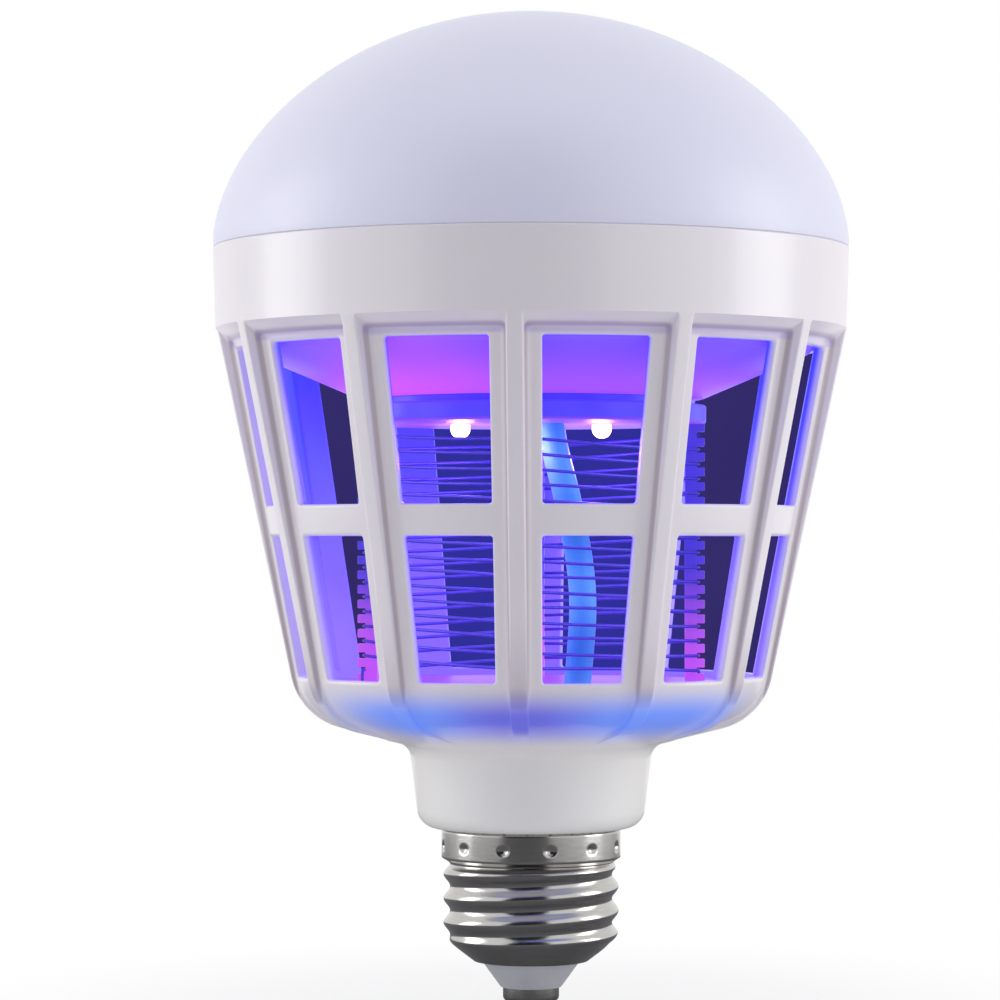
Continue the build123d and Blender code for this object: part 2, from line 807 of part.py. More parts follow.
# Smoothing capacitor, a can that stands on the board
with BuildPart() as smoothing_capacitor:
    with BuildSketch(front_face):
        with Locations((-capacitor_x, driver_top_z - capacitor_drop)):
            Circle(capacitor_radius)
    extrude(amount=capacitor_length)
    chamfer(smoothing_capacitor.faces().sort_by(Axis.Y)[0].edges(), block_edge)

smoothing_capacitor.part.label = "smoothing_capacitor"
export_step(smoothing_capacitor.part, "parts/smoothing_capacitor.step")

# Choke: a drum of ferrite with a winding between its flanges
choke_place = (choke_x, driver_top_z - choke_drop)
with BuildPart() as choke_core:
    with BuildSketch(front_face):
        with Locations(choke_place):
            Circle(choke_radius)
    extrude(amount=choke_height)
    with BuildSketch(front_face.offset(choke_flange)):
        with Locations(choke_place):
            Circle(choke_radius)
            Circle(choke_core_radius, mode=Mode.SUBTRACT)
    extrude(amount=choke_height - 2 * choke_flange, mode=Mode.SUBTRACT)

choke_core.part.label = "choke_core"
export_step(choke_core.part, "parts/choke_core.step")

with BuildPart() as choke_winding:
    with BuildSketch(front_face.offset(choke_flange)):
        with Locations(choke_place):
            Circle(winding_radius)
            Circle(choke_core_radius + winding_gap, mode=Mode.SUBTRACT)
    extrude(amount=choke_height - 2 * choke_flange)

choke_winding.part.label = "choke_winding"
export_step(choke_winding.part, "parts/choke_winding.step")

# Fusible resistor: a barrel along the tongue, on two short legs
resistor_y = -driver_face_y - resistor_radius - winding_gap
resistor_z = driver_foot_z + resistor_rise
leg_z = resistor_length / 2 + resistor_leg_radius
with BuildPart() as fusible_resistor:
    with BuildSketch(Plane.XY.offset(resistor_z - resistor_length / 2)):
        with Locations((-resistor_x, resistor_y)):
            Circle(resistor_radius)
    extrude(amount=resistor_length)
    with BuildSketch(front_face):
        for end in (-1, 1):
            with Locations((-resistor_x, resistor_z + end * leg_z)):
                Rectangle(2 * resistor_leg_radius, 2 * resistor_leg_radius)
    extrude(amount=-resistor_y - driver_face_y + resistor_leg_radius)

fusible_resistor.part.label = "fusible_resistor"
export_step(fusible_resistor.part, "parts/fusible_resistor.step")

# Screw cap: a thin metal shell with a rolled thread, a plain skirt above it and a collar in the neck
skirt_foot_z = neck_foot_z - cap_skirt_height
thread_foot_z = shell_foot_z + shell_mouth_height
collar_inner_radius = cap_collar_radius - cap_wall


def mouth_z(radius):
    """Height of the shell's slanting foot, carried on outward."""
    return shell_foot_z + mouth_slope * (radius - shell_mouth_radius)


crimp_ring = cap_skirt_radius + crimp_radius - crimp_depth

with BuildPart() as thread_ridge:
    with BuildLine() as thread_line:
        Helix(
            pitch=thread_pitch,
            height=neck_foot_z - thread_crest_z,
            radius=thread_minor_radius,
            center=(0, 0, thread_crest_z),
        )
    with BuildSketch(Plane.XZ):
        with BuildLine():
            ridge_root = thread_minor_radius - thread_bite
            crown = ThreePointArc(
                (ridge_root, thread_crest_z - thread_flank),
                (thread_major_radius, thread_crest_z),
                (ridge_root, thread_crest_z + thread_flank),
            )
            Line(crown @ 1, crown @ 0)
        make_face()
    sweep(path=thread_line.line, is_frenet=True)
    with BuildSketch(Plane.XZ):
        with BuildLine():
            Polyline(
                (shell_inner_radius, mouth_z(shell_inner_radius)),
                (cap_skirt_radius, mouth_z(cap_skirt_radius)),
                (cap_skirt_radius, skirt_foot_z),
                (shell_inner_radius, skirt_foot_z),
                close=True,
            )
        make_face()
    revolve(axis=Axis.Z, mode=Mode.INTERSECT)

with BuildPart() as screw_shell:
    with BuildSketch(Plane.XZ):
        with BuildLine():
            shell_side = FilletPolyline(
                (shell_mouth_radius, shell_foot_z),
                (thread_minor_radius, thread_foot_z),
                (thread_minor_radius, skirt_foot_z - cap_shoulder),
                radius=shell_mouth_round,
            )
            Polyline(
                shell_side @ 1,
                (cap_skirt_radius, skirt_foot_z),
                (cap_skirt_radius, neck_foot_z),
                (cap_collar_radius, neck_foot_z),
                (cap_collar_radius, cap_seat_z),
                (collar_inner_radius, cap_seat_z),
                (collar_inner_radius, skirt_foot_z + cap_wall),
                (shell_inner_radius, skirt_foot_z - cap_shoulder + cap_wall),
                (shell_inner_radius, inner_knee_z),
                (mouth_inner_radius, shell_foot_z),
                (shell_mouth_radius, shell_foot_z),
            )
        make_face()
    revolve(axis=Axis.Z)
    add(thread_ridge.part)
    with Locations(Plane.XY.offset(neck_foot_z - crimp_drop)):
        with PolarLocations(crimp_ring, crimp_count, start_angle=rib_step / 2):
            Sphere(crimp_radius, mode=Mode.SUBTRACT)

screw_shell.part.label = "screw_shell"
export_step(screw_shell.part, "parts/screw_shell.step")

# Insulator in the shell's mouth, contact under it and the solder on the contact
with BuildPart() as cap_insulator:
    with BuildSketch(Plane.XZ):
        with BuildLine():
            Polyline(
                (insulator_bore, contact_height),
                (insulator_foot_radius, contact_height),
                (insulator_waist_radius, shell_foot_z - insulator_waist_drop),
                (mouth_inner_radius - seat_gap, shell_foot_z),
                (shell_inner_radius - seat_gap, inner_knee_z),
                (shell_inner_radius - seat_gap, insulator_top_z),
                (insulator_bore, insulator_top_z),
                close=True,
            )
        make_face()
    revolve(axis=Axis.Z)

cap_insulator.part.label = "cap_insulator"
export_step(cap_insulator.part, "parts/cap_insulator.step")

with BuildPart() as centre_contact:
    with BuildSketch(Plane.XY.offset(solder_height)):
        Circle(contact_radius)
    extrude(amount=contact_height - solder_height)
    fillet(centre_contact.faces().sort_by(Axis.Z)[0].edges(), contact_round)

centre_contact.part.label = "centre_contact"
export_step(centre_contact.part, "parts/centre_contact.step")

solder_sphere_radius = (solder_radius**2 + solder_height**2) / (2 * solder_height)
solder_turn = asin(solder_radius / solder_sphere_radius) / 2
with BuildPart() as contact_solder:
    with BuildSketch(Plane.XZ):
        with BuildLine():
            dome = ThreePointArc(
                (0, 0),
                (solder_sphere_radius * sin(solder_turn), solder_sphere_radius * (1 - cos(solder_turn))),
                (solder_radius, solder_height),
            )
            Polyline(dome @ 1, (0, solder_height), (0, 0))
        make_face()
    revolve(axis=Axis.Z)

contact_solder.part.label = "contact_solder"
export_step(contact_solder.part, "parts/contact_solder.step")

# Supply leads: one down through the insulator to the contact, one to the inside of the shell
lead_root_z = driver_foot_z + supply_lead_rise
contact_lead = make_lead(
    [
        (0, -driver_face_y, lead_root_z),
        (0, -driver_face_y - supply_lead_loop, lead_root_z),
        (0, -driver_face_y - supply_lead_loop, driver_foot_z),
        (0, 0, insulator_top_z + lead_radius),
        (0, 0, contact_height),
    ],
    lead_radius,
)
contact_lead.part.label = "contact_lead"
export_step(contact_lead.part, "parts/contact_lead.step")

shell_lead_reach = (shell_inner_radius - seat_gap - lead_radius / 2) * cos(pi / 4)
shell_lead = make_lead(
    [
        (-shell_lead_x, driver_face_y, lead_root_z),
        (-shell_lead_x, driver_face_y + supply_lead_loop, lead_root_z),
        (-shell_lead_reach, shell_lead_reach, lead_root_z + supply_lead_rise),
    ],
    lead_radius,
)
shell_lead.part.label = "shell_lead"
export_step(shell_lead.part, "parts/shell_lead.step")
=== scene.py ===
import bpy
import random
import numpy as np
from math import acos, asin, cos, hypot, pi, radians, sin, sqrt, tan
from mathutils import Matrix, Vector


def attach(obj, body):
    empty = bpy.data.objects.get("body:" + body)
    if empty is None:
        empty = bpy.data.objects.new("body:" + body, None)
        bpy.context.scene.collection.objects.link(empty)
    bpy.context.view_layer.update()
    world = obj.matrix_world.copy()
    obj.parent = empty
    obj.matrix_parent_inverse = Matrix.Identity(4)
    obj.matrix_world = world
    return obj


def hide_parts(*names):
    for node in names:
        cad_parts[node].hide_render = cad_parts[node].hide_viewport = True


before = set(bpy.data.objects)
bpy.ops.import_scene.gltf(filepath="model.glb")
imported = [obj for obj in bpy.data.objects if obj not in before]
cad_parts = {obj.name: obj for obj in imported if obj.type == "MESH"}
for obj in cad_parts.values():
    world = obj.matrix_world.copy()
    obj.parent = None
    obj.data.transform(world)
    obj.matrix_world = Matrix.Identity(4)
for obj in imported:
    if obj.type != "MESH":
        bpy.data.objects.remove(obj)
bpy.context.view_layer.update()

mm = 0.001
cells = 12  # windows and ribs round the cage
cellTurn = 2 * pi / cells


# small helpers: colour, nodes, meshes

def linearColour(hexColour):
    values = [int(hexColour[place:place + 2], 16) / 255 for place in (1, 3, 5)]
    return tuple(v / 12.92 if v <= 0.04045 else ((v + 0.055) / 1.055) ** 2.4 for v in values) + (1.0,)


def setInputs(tree, node, inputs):
    # an input is a number, a tuple, a hex colour or another node's output
    for key, value in inputs.items():
        if isinstance(value, bpy.types.NodeSocket):
            tree.links.new(value, node.inputs[key])
        elif isinstance(value, str):
            node.inputs[key].default_value = linearColour(value)
        else:
            node.inputs[key].default_value = value


def addNode(tree, kind, inputs=None, **settings):
    # adds one node with its settings and inputs, and gives its outputs
    node = tree.nodes.new("ShaderNode" + kind)
    for key, value in settings.items():
        setattr(node, key, value)
    setInputs(tree, node, inputs or {})
    return node.outputs


def startMaterial(name):
    material = bpy.data.materials.new(name)
    material.use_nodes = True
    return material, material.node_tree, material.node_tree.nodes["Principled BSDF"]


def meshPiece(name, points, faces, material, replaced, sharp=40, weighted=False):
    # points are in millimetres; the piece stands for the CAD nodes in replaced
    mesh = bpy.data.meshes.new(name)
    mesh.from_pydata([tuple(c * mm for c in point) for point in points], [], faces)
    mesh.validate()
    mesh.update()
    mesh.shade_smooth()
    mesh.set_sharp_from_angle(angle=radians(sharp))
    mesh.materials.append(material)
    piece = bpy.data.objects.new(name, mesh)
    bpy.context.scene.collection.objects.link(piece)
    if weighted:
        shading = piece.modifiers.new("faceWeightedShading", "WEIGHTED_NORMAL")
        shading.keep_sharp = True
    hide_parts(*replaced)
    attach(piece, "root")
    return piece


def turnedPoint(x, y, z, turn):
    return (x * cos(turn) - y * sin(turn), x * sin(turn) + y * cos(turn), z)


def joinGrid(size, faces, start, closed):
    # quads between neighbouring rows of points; size is (rows, points in a row)
    count = size[1]
    for row in range(size[0] - 1):
        for column in range(count if closed else count - 1):
            after = (column + 1) % count
            faces.append((start + row * count + column, start + row * count + after,
                          start + (row + 1) * count + after, start + (row + 1) * count + column))


def turned(profile, sides, closed=False, centre=(0, 0)):
    # a turned form: the profile is (radius, height) from the bottom outside to the top
    points = []
    faces = []
    for radius, height in profile:
        for side in range(sides):
            turn = 2 * pi * side / sides
            points.append((centre[0] + radius * cos(turn), centre[1] + radius * sin(turn), height))
    joinGrid((len(profile), sides), faces, 0, True)
    if closed:
        last = (len(profile) - 1) * sides
        for side in range(sides):
            after = (side + 1) % sides
            faces.append((last + side, last + after, after, side))
    else:
        if profile[0][0] > 0:
            faces.append(tuple(reversed(range(sides))))
        if profile[-1][0] > 0:
            faces.append(tuple(range((len(profile) - 1) * sides, len(profile) * sides)))
    return points, faces


def rounded(corners, steps=6):
    # corners are (radius, height) or (radius, height, round): the round ones become arcs
    line = []
    for place, corner in enumerate(corners):
        here = Vector(corner[:2])
        if len(corner) < 3 or place in (0, len(corners) - 1):
            line.append((here.x, here.y))
            continue
        before = (Vector(corners[place - 1][:2]) - here).normalized()
        after = (Vector(corners[place + 1][:2]) - here).normalized()
        half = acos(max(-1, min(1, before.dot(after)))) / 2
        reach = corner[2] / tan(half)
        middle = here + (before + after).normalized() * (corner[2] / sin(half))
        first = here + before * reach - middle
        last = here + after * reach - middle
        sweepTurn = pi - 2 * half
        side = 1 if first.x * last.y - first.y * last.x > 0 else -1
        for step in range(steps + 1):
            turn = side * sweepTurn * step / steps
            line.append((middle.x + first.x * cos(turn) - first.y * sin(turn),
                         middle.y + first.x * sin(turn) + first.y * cos(turn)))
    return line


def bezier(a, b, c, d, steps):
    # a curve from a to d, drawn towards b and c
    line = []
    for step in range(steps + 1):
        t = step / steps
        weights = ((1 - t) ** 3, 3 * t * (1 - t) ** 2, 3 * t * t * (1 - t), t ** 3)
        line.append(tuple(sum(w * p[axis] for w, p in zip(weights, (a, b, c, d))) for axis in (0, 1)))
    return line


def tube(path, radius, sides):
    # a round bar along a list of points, its section carried along without twist
    points = []
    faces = []
    line = [Vector(p) for p in path]
    tangents = []
    for place in range(len(line)):
        before = line[max(place - 1, 0)]
        after = line[min(place + 1, len(line) - 1)]
        tangents.append((after - before).normalized())
    up = Vector((0, 0, 1)) if abs(tangents[0].z) < 0.9 else Vector((1, 0, 0))
    across = tangents[0].cross(up).normalized()
    for place, here in enumerate(line):
        across = (across - tangents[place] * across.dot(tangents[place])).normalized()
        over = tangents[place].cross(across)
        for side in range(sides):
            turn = 2 * pi * side / sides
            points.append(tuple(here + (across * cos(turn) + over * sin(turn)) * radius))
    joinGrid((len(line), sides), faces, 0, True)
    faces.append(tuple(reversed(range(sides))))
    faces.append(tuple(range((len(line) - 1) * sides, len(line) * sides)))
    return points, faces


def softened(path, rounds=2):
    # cuts the corners of a run of points, so that a wire bends rather than breaks
    for number in range(rounds):
        line = [path[0]]
        for a, b in zip(path, path[1:]):
            line.append(tuple(p + (q - p) * 0.25 for p, q in zip(a, b)))
            line.append(tuple(p + (q - p) * 0.75 for p, q in zip(a, b)))
        line.append(path[-1])
        path = line
    return path


# the cage housing: one moulding with ribs, recessed panels and windows

# points are (radius, height) and windows (foot, top), in millimetres; coneTurn is in degrees
cage = {
    "neckBore": 13.2, "neckFoot": (16.75, 26.8), "neckFootRound": 3.0, "neckHead": (18.2, 39.1),
    "neckHollow": 2.5, "bore": 14.55, "boreFoot": 31.3, "boreTop": 41.3,
    "bowlCorner": (34.69, 43.21), "bowlRound": 10.0, "fade": (21.6, 39.948),
    "coneTurn": 12.06, "rimFoot": (47.1, 101.3), "rimMiddle": (47.3, 107.3), "rim": (47.5, 113.3),
    "rimRound": 0.35, "rimInside": 45.0, "ledgeZ": 101.0, "seatZ": 46.5, "seatEdgeZ": 46.2,
    "seatInner": 30.27, "ribHalf": 1.25, "rootRound": 1.1, "edgeRound": 0.32, "wall": 1.8,
    "panelCorner": (34.163, 44.81), "panelRound": 8.0, "panelFootZ": 49.6, "panelFoot": 35.06,
    "panelSlope": 0.1873, "panelTopZ": 99.2, "panelTopRound": 0.9,
    "lowerWindow": (49.6, 70.4), "upperWindow": (74.9, 98.2), "windowFoot": 5.75, "windowTop": 7.7,
    "windowRound": 0.45, "windowBevel": 0.5, "innerRound": 0.3,
    "lowEdge": 48.9, "middle": 72.65, "highEdge": 98.78, "recessTopZ": 99.62, "rimStartZ": 99.9,
}
coneSlope = tan(radians(cage["coneTurn"]))
ribHalf = cage["ribHalf"]


def coneRadius(z):
    return cage["rimFoot"][0] - coneSlope * (cage["rimFoot"][1] - z)


def panelRadius(z):
    return cage["panelFoot"] + cage["panelSlope"] * (z - cage["panelFootZ"])


def windowHalf(z):
    foot, top = cage["lowerWindow"][0], cage["upperWindow"][1]
    return cage["windowFoot"] + (cage["windowTop"] - cage["windowFoot"]) * (z - foot) / (top - foot)


curveSteps = 40
ribSide = rounded([cage["fade"], (*cage["bowlCorner"], cage["bowlRound"]), cage["rimFoot"]], curveSteps)
panelTop = (panelRadius(cage["panelTopZ"]), cage["panelTopZ"], cage["panelTopRound"])
panelSide = rounded([cage["fade"], (*cage["panelCorner"], cage["panelRound"]), panelTop, cage["rimFoot"]],
                    curveSteps)


def sideRadius(side, z):
    return float(np.interp(z, [p[1] for p in side], [p[0] for p in side]))


def along(side, height, count):
    # even steps along a side's curve up to a height
    cut = [p for p in side if p[1] < height] + [(sideRadius(side, height), height)]
    lengths = [hypot(b[0] - a[0], b[1] - a[1]) for a, b in zip(cut, cut[1:])]
    reach = np.concatenate([[0], np.cumsum(lengths)])
    steps = np.linspace(0, reach[-1], count)
    return list(zip(*(np.interp(steps, reach, [p[axis] for p in cut]) for axis in (0, 1))))


ribSteps = {"root": 5, "side": 2, "edge": 3, "face": 2}
rowCounts = {"bowl": 18, "neckArc": 8, "recess": 6, "rimArc": 4, "inside": 3}
arcSteps = 3  # steps of half a window corner
sideSteps = (8, 12)  # straight steps of a window: across, up


def ribColumns(depth):
    # (offset from the rib's middle, share of its height) from the panel to the rib's middle
    fillet = cage["rootRound"]
    edge = cage["edgeRound"]
    filletRise = min(fillet, 0.5 * depth)
    edgeRise = min(edge, 0.4 * depth)
    full = max(depth, 1e-6)
    columns = []
    for step in range(ribSteps["root"] + 1):
        turn = pi / 2 * step / ribSteps["root"]
        columns.append((ribHalf + fillet * (1 - sin(turn)), filletRise * (1 - cos(turn)) / full))
    for step in range(1, ribSteps["side"]):
        share = step / ribSteps["side"]
        columns.append((ribHalf, (filletRise + (full - edgeRise - filletRise) * share) / full))
    for step in range(ribSteps["edge"] + 1):
        turn = pi / 2 * step / ribSteps["edge"]
        columns.append((ribHalf - edge * (1 - cos(turn)), 1 - edgeRise * (1 - sin(turn)) / full))
    for step in range(1, ribSteps["face"] + 1):
        columns.append(((ribHalf - edge) * (1 - step / ribSteps["face"]), 1.0))
    return columns


def ribStrip(panelPoint, ribPoint):
    # one row from the panel's edge to the rib's middle: (angle from the window's middle, radius, height)
    depth = hypot(ribPoint[0] - panelPoint[0], ribPoint[1] - panelPoint[1])
    row = []
    for offset, share in ribColumns(depth):
        radius = panelPoint[0] + share * (ribPoint[0] - panelPoint[0])
        height = panelPoint[1] + share * (ribPoint[1] - panelPoint[1])
        row.append((cellTurn / 2 - asin(min(1, offset / radius)), radius, height))
    return row


def rootAngle(radius):
    return cellTurn / 2 - asin((ribHalf + cage["rootRound"]) / radius)


def acrossShares(z):
    # where a row across a panel has its points, as shares of the panel's half width
    radius = sideRadius(panelSide, z)
    edge = radius * sin(rootAngle(radius))
    straight = windowHalf(z) - cage["windowRound"]
    places = [-edge + (edge - straight) * step / arcSteps for step in range(arcSteps)]
    places += [-straight + 2 * straight * step / sideSteps[0] for step in range(sideSteps[0])]
    places += [straight + (edge - straight) * step / arcSteps for step in range(arcSteps + 1)]
    return [place / edge for place in places]


def heightSteps(low, high, window):
    foot = window[0] + cage["windowRound"]
    top = window[1] - cage["windowRound"]
    places = [low + (foot - low) * step / arcSteps for step in range(arcSteps)]
    places += [foot + (top - foot) * step / sideSteps[1] for step in range(sideSteps[1])]
    places += [top + (high - top) * step / arcSteps for step in range(arcSteps + 1)]
    return places


def windowLoop(window, grow):
    # the window's outline, grown outward, as (across, height), from the middle of its bottom left arc
    foot, top = window[0] - grow, window[1] + grow
    half = [windowHalf(window[0]) + grow, windowHalf(window[1]) + grow]
    radius = cage["windowRound"] + grow
    corners = [(-half[0], foot), (half[0], foot), (half[1], top), (-half[1], top)]
    starts = [180, 270, 0, 90]
    middles = [(corners[0][0] + radius, foot + radius), (corners[1][0] - radius, foot + radius),
               (corners[2][0] - radius, top - radius), (corners[3][0] + radius, top - radius)]
    loop = []
    for number in range(4):
        middle, start = middles[number], radians(starts[number])
        after = middles[(number + 1) % 4]
        for step in range(arcSteps):
            turn = start + pi / 4 + pi / 4 * step / arcSteps
            loop.append((middle[0] + radius * cos(turn), middle[1] + radius * sin(turn)))
        turn = start + pi / 2
        first = (middle[0] + radius * cos(turn), middle[1] + radius * sin(turn))
        last = (after[0] + radius * cos(turn), after[1] + radius * sin(turn))
        count = sideSteps[number % 2]
        for step in range(count):
            loop.append(tuple(p + (q - p) * step / count for p, q in zip(first, last)))
        for step in range(arcSteps):
            turn = start + pi / 2 + pi / 4 * step / arcSteps
            loop.append((after[0] + radius * cos(turn), after[1] + radius * sin(turn)))
    return loop


def frameLoop(low, high, window, radiusAt):
    # the outline of the panel round a window, as (angle, radius, height), in step with windowLoop
    heights = heightSteps(low, high, window)
    lowShares, highShares = acrossShares(low), acrossShares(high)
    loop = [(share, low) for share in lowShares[:-1]]
    loop += [(1.0, z) for z in heights[:-1]]
    loop += [(share, high) for share in reversed(highShares[1:])]
    loop += [(-1.0, z) for z in reversed(heights[1:])]
    points = []
    for share, z in loop:
        outer = sideRadius(panelSide, z)
        edge = outer * sin(rootAngle(outer))
        points.append((asin(share * edge / outer), radiusAt(z), z))
    return points


def polar(angle, radius, z):
    return (radius * cos(angle), radius * sin(angle), z)


def innerRadius(z):
    return panelRadius(z) - cage["wall"]


def windowRing(low, high, window):
    # loops round a window, from the panel's outline over the bevel and through the wall to the inside
    loops = [[polar(*p) for p in frameLoop(low, high, window, lambda z: sideRadius(panelSide, z))]]
    for turn in (0, 30, 60, 90):
        grow = cage["windowBevel"] * (1 - sin(radians(turn)))
        drop = cage["windowBevel"] * (1 - cos(radians(turn)))
        loops.append([(sqrt(sideRadius(panelSide, z) ** 2 - y * y) - drop, y, z)
                      for y, z in windowLoop(window, grow)])
    for turn in (90, 45, 0):
        grow = cage["innerRound"] * (1 - sin(radians(turn)))
        rise = cage["innerRound"] * (1 - cos(radians(turn)))
        loops.append([(sqrt(innerRadius(z) ** 2 - y * y) + rise, y, z) for y, z in windowLoop(window, grow)])
    loops.append([polar(*p) for p in frameLoop(low, high, window, innerRadius)])
    return loops


def mirrored(row):
    return [(-angle, radius, z) for angle, radius, z in reversed(row)]


def fullRow(panelPoint, ribPoint, shares):
    # one row outside, from rib to rib across the panel between them
    radius = panelPoint[0]
    edge = radius * sin(rootAngle(radius))
    middle = [(asin(share * edge / radius), radius, panelPoint[1]) for share in shares]
    strip = ribStrip(panelPoint, ribPoint)[1:]
    return mirrored(strip) + middle + strip


def innerRow(level, z):
    # one row inside, at the angles that the panel has at a level
    outer = sideRadius(panelSide, level)
    edge = outer * sin(rootAngle(outer))
    middle = [(asin(share * edge / outer), innerRadius(z), z) for share in acrossShares(level)]
    strip = [(rootAngle(outer) + (cellTurn / 2 - rootAngle(outer)) * share / 3, innerRadius(z), z)
             for share in (1, 2, 3)]
    return mirrored(strip) + middle + strip


def cageCell():
    # one cell of the cage about the window's middle, from rib to rib
    points = []
    faces = []

    def addRows(rows):
        start = len(points)
        for row in rows:
            points.extend(polar(*p) for p in row)
        joinGrid((len(rows), len(rows[0])), faces, start, False)

    # bowl, from the fade line to the foot of the lower windows
    lowShares = acrossShares(cage["lowEdge"])
    bowlRows = [fullRow(panel, rib, lowShares) for panel, rib in
                zip(*(along(side, cage["lowEdge"], rowCounts["bowl"]) for side in (panelSide, ribSide)))]
    addRows(bowlRows)
    # neck, at the angles of the fade line
    fadeAngles = [p[0] for p in bowlRows[0]]
    neckSide = rounded([(cage["neckBore"], cage["neckFoot"][1]), (*cage["neckFoot"], cage["neckFootRound"]),
                        (*cage["neckHead"], cage["neckHollow"]), cage["fade"]], rowCounts["neckArc"])
    addRows([[(angle, radius, z) for angle in fadeAngles] for radius, z in neckSide])
    # recess tops and rim
    highShares = acrossShares(cage["highEdge"])
    topHeights = list(np.linspace(cage["highEdge"], cage["recessTopZ"], rowCounts["recess"]))
    topHeights += list(np.linspace(cage["rimStartZ"], cage["rimFoot"][1], rowCounts["recess"]))
    topRows = [fullRow((sideRadius(panelSide, z), z), (coneRadius(z), z), highShares) for z in topHeights]
    addRows(topRows)
    rimAngles = [p[0] for p in topRows[-1]]
    rimSide = rounded([cage["rimFoot"], cage["rimMiddle"], (*cage["rim"], cage["rimRound"]),
                       (cage["rimInside"], cage["rim"][1])], rowCounts["rimArc"])
    rimSide += [(cage["rimInside"], cage["ledgeZ"]), (innerRadius(cage["ledgeZ"]), cage["ledgeZ"])]
    addRows([[(angle, radius, z) for angle in rimAngles] for radius, z in rimSide])
    # ribs beside the windows, outside and inside, and the windows between them
    for low, high, window in ((cage["lowEdge"], cage["middle"], cage["lowerWindow"]),
                              (cage["middle"], cage["highEdge"], cage["upperWindow"])):
        heights = heightSteps(low, high, window)
        strips = [ribStrip((sideRadius(panelSide, z), z), (sideRadius(ribSide, z), z)) for z in heights]
        addRows(strips)
        addRows([mirrored(strip) for strip in strips])
        innerStrips = []
        for z in heights:
            edge = rootAngle(sideRadius(panelSide, z))
            innerStrips.append([(edge + (cellTurn / 2 - edge) * share / 3, innerRadius(z), z)
                                for share in (3, 2, 1, 0)])
        addRows(innerStrips)
        addRows([mirrored(strip) for strip in innerStrips])
        loops = windowRing(low, high, window)
        start = len(points)
        for loop in loops:
            points.extend(loop)
        joinGrid((len(loops), len(loops[0])), faces, start, True)
    # inside below and above the windows, and the seat and bore of the neck
    lowHeights = np.linspace(cage["seatZ"], cage["lowEdge"], rowCounts["inside"])
    highHeights = np.linspace(cage["highEdge"], cage["ledgeZ"], rowCounts["inside"])
    addRows([innerRow(cage["lowEdge"], z) for z in lowHeights])
    upperRows = [innerRow(cage["highEdge"], z) for z in highHeights]
    addRows(upperRows)
    innerAngles = [p[0] for p in upperRows[0]]
    seatSide = [(innerRadius(cage["seatZ"]), cage["seatZ"]), (cage["seatInner"], cage["seatZ"]),
                (cage["seatInner"], cage["seatEdgeZ"]), (cage["bore"], cage["boreTop"]),
                (cage["bore"], cage["boreFoot"]), (cage["neckBore"], cage["boreFoot"]),
                (cage["neckBore"], cage["neckFoot"][1])]
    addRows([[(angle, radius, z) for angle in innerAngles] for radius, z in seatSide])
    return points, faces


def wholeCage(material):
    # twelve cells, with the points that meet at the ribs' middles made one
    cellPoints, cellFaces = cageCell()
    points = []
    faces = []
    for number in range(cells):
        turn = cellTurn * (number + 0.5)
        start = len(points)
        points.extend(turnedPoint(*point, turn) for point in cellPoints)
        faces.extend(tuple(corner + start for corner in face) for face in cellFaces)
    weldSteps = 500  # in a millimetre: points in the same step are one
    merged = {}
    places = []
    kept = []
    for point in points:
        key = tuple(round(c * weldSteps) for c in point)
        if key not in merged:
            merged[key] = len(kept)
            kept.append(point)
        places.append(merged[key])
    faces = [tuple(dict.fromkeys(places[corner] for corner in face)) for face in faces]
    faces = [face for face in faces if len(face) > 2]
    meshPiece("cageHousingMoulding", kept, faces, material, ["cage_housing"], 32, True)


# patterns that several materials share, with sizes and depths in millimetres

def objectPlace(tree):
    # a point's place for the patterns, and the same in millimetres as X, Y and Z
    coords = addNode(tree, "TexCoord")["Object"]
    scaled = addNode(tree, "VectorMath", {0: coords, "Scale": 1 / mm}, operation="SCALE")[0]
    return coords, addNode(tree, "SeparateXYZ", {0: scaled})


def panelDepth(tree, x, y, height):
    # how far a point lies below the panels' outer face
    square = addNode(tree, "Math", {0: x, 1: x}, operation="MULTIPLY")[0]
    square = addNode(tree, "Math", {0: y, 1: y, 2: square}, operation="MULTIPLY_ADD")[0]
    reach = addNode(tree, "Math", {0: square}, operation="SQRT")[0]
    start = cage["panelFoot"] - cage["panelSlope"] * cage["panelFootZ"]
    panel = addNode(tree, "Math", {0: height, 1: cage["panelSlope"], 2: start}, operation="MULTIPLY_ADD")[0]
    return addNode(tree, "Math", {0: panel, 1: reach}, operation="SUBTRACT")[0]


def roundTheAxis(tree, x, y, beats, start):
    # a share from 0 to 1 that rises and falls a number of times round the bulb
    turn = addNode(tree, "Math", {0: y, 1: x}, operation="ARCTAN2")[0]
    turn = addNode(tree, "Math", {0: turn, 1: beats, 2: -beats * radians(start)}, operation="MULTIPLY_ADD")[0]
    wave = addNode(tree, "Math", {0: turn}, operation="COSINE")[0]
    return addNode(tree, "Math", {0: wave, 1: 0.5, 2: 0.5}, operation="MULTIPLY_ADD")[0]


def softShare(tree, *steps):
    # 1 where every step is up: a step is (value, where it starts, where it is up), with a soft slope between
    whole = None
    for value, start, up in steps:
        part = addNode(tree, "MapRange", {0: value, 1: start, 2: up}, interpolation_type="SMOOTHSTEP")[0]
        if whole is None:
            whole = part
        else:
            whole = addNode(tree, "Math", {0: whole, 1: part}, operation="MULTIPLY")[0]
    return whole


def patchyColour(tree, coords, width, dark, pale, detail=3.0, rough=0.5):
    # two shades in soft patches of about one width
    cloud = addNode(tree, "TexNoise", {"Vector": coords, "Scale": 1 / (width * mm), "Detail": detail,
                                       "Roughness": rough})["Fac"]
    return addNode(tree, "Mix", {0: cloud, 6: dark, 7: pale}, data_type="RGBA")[2]


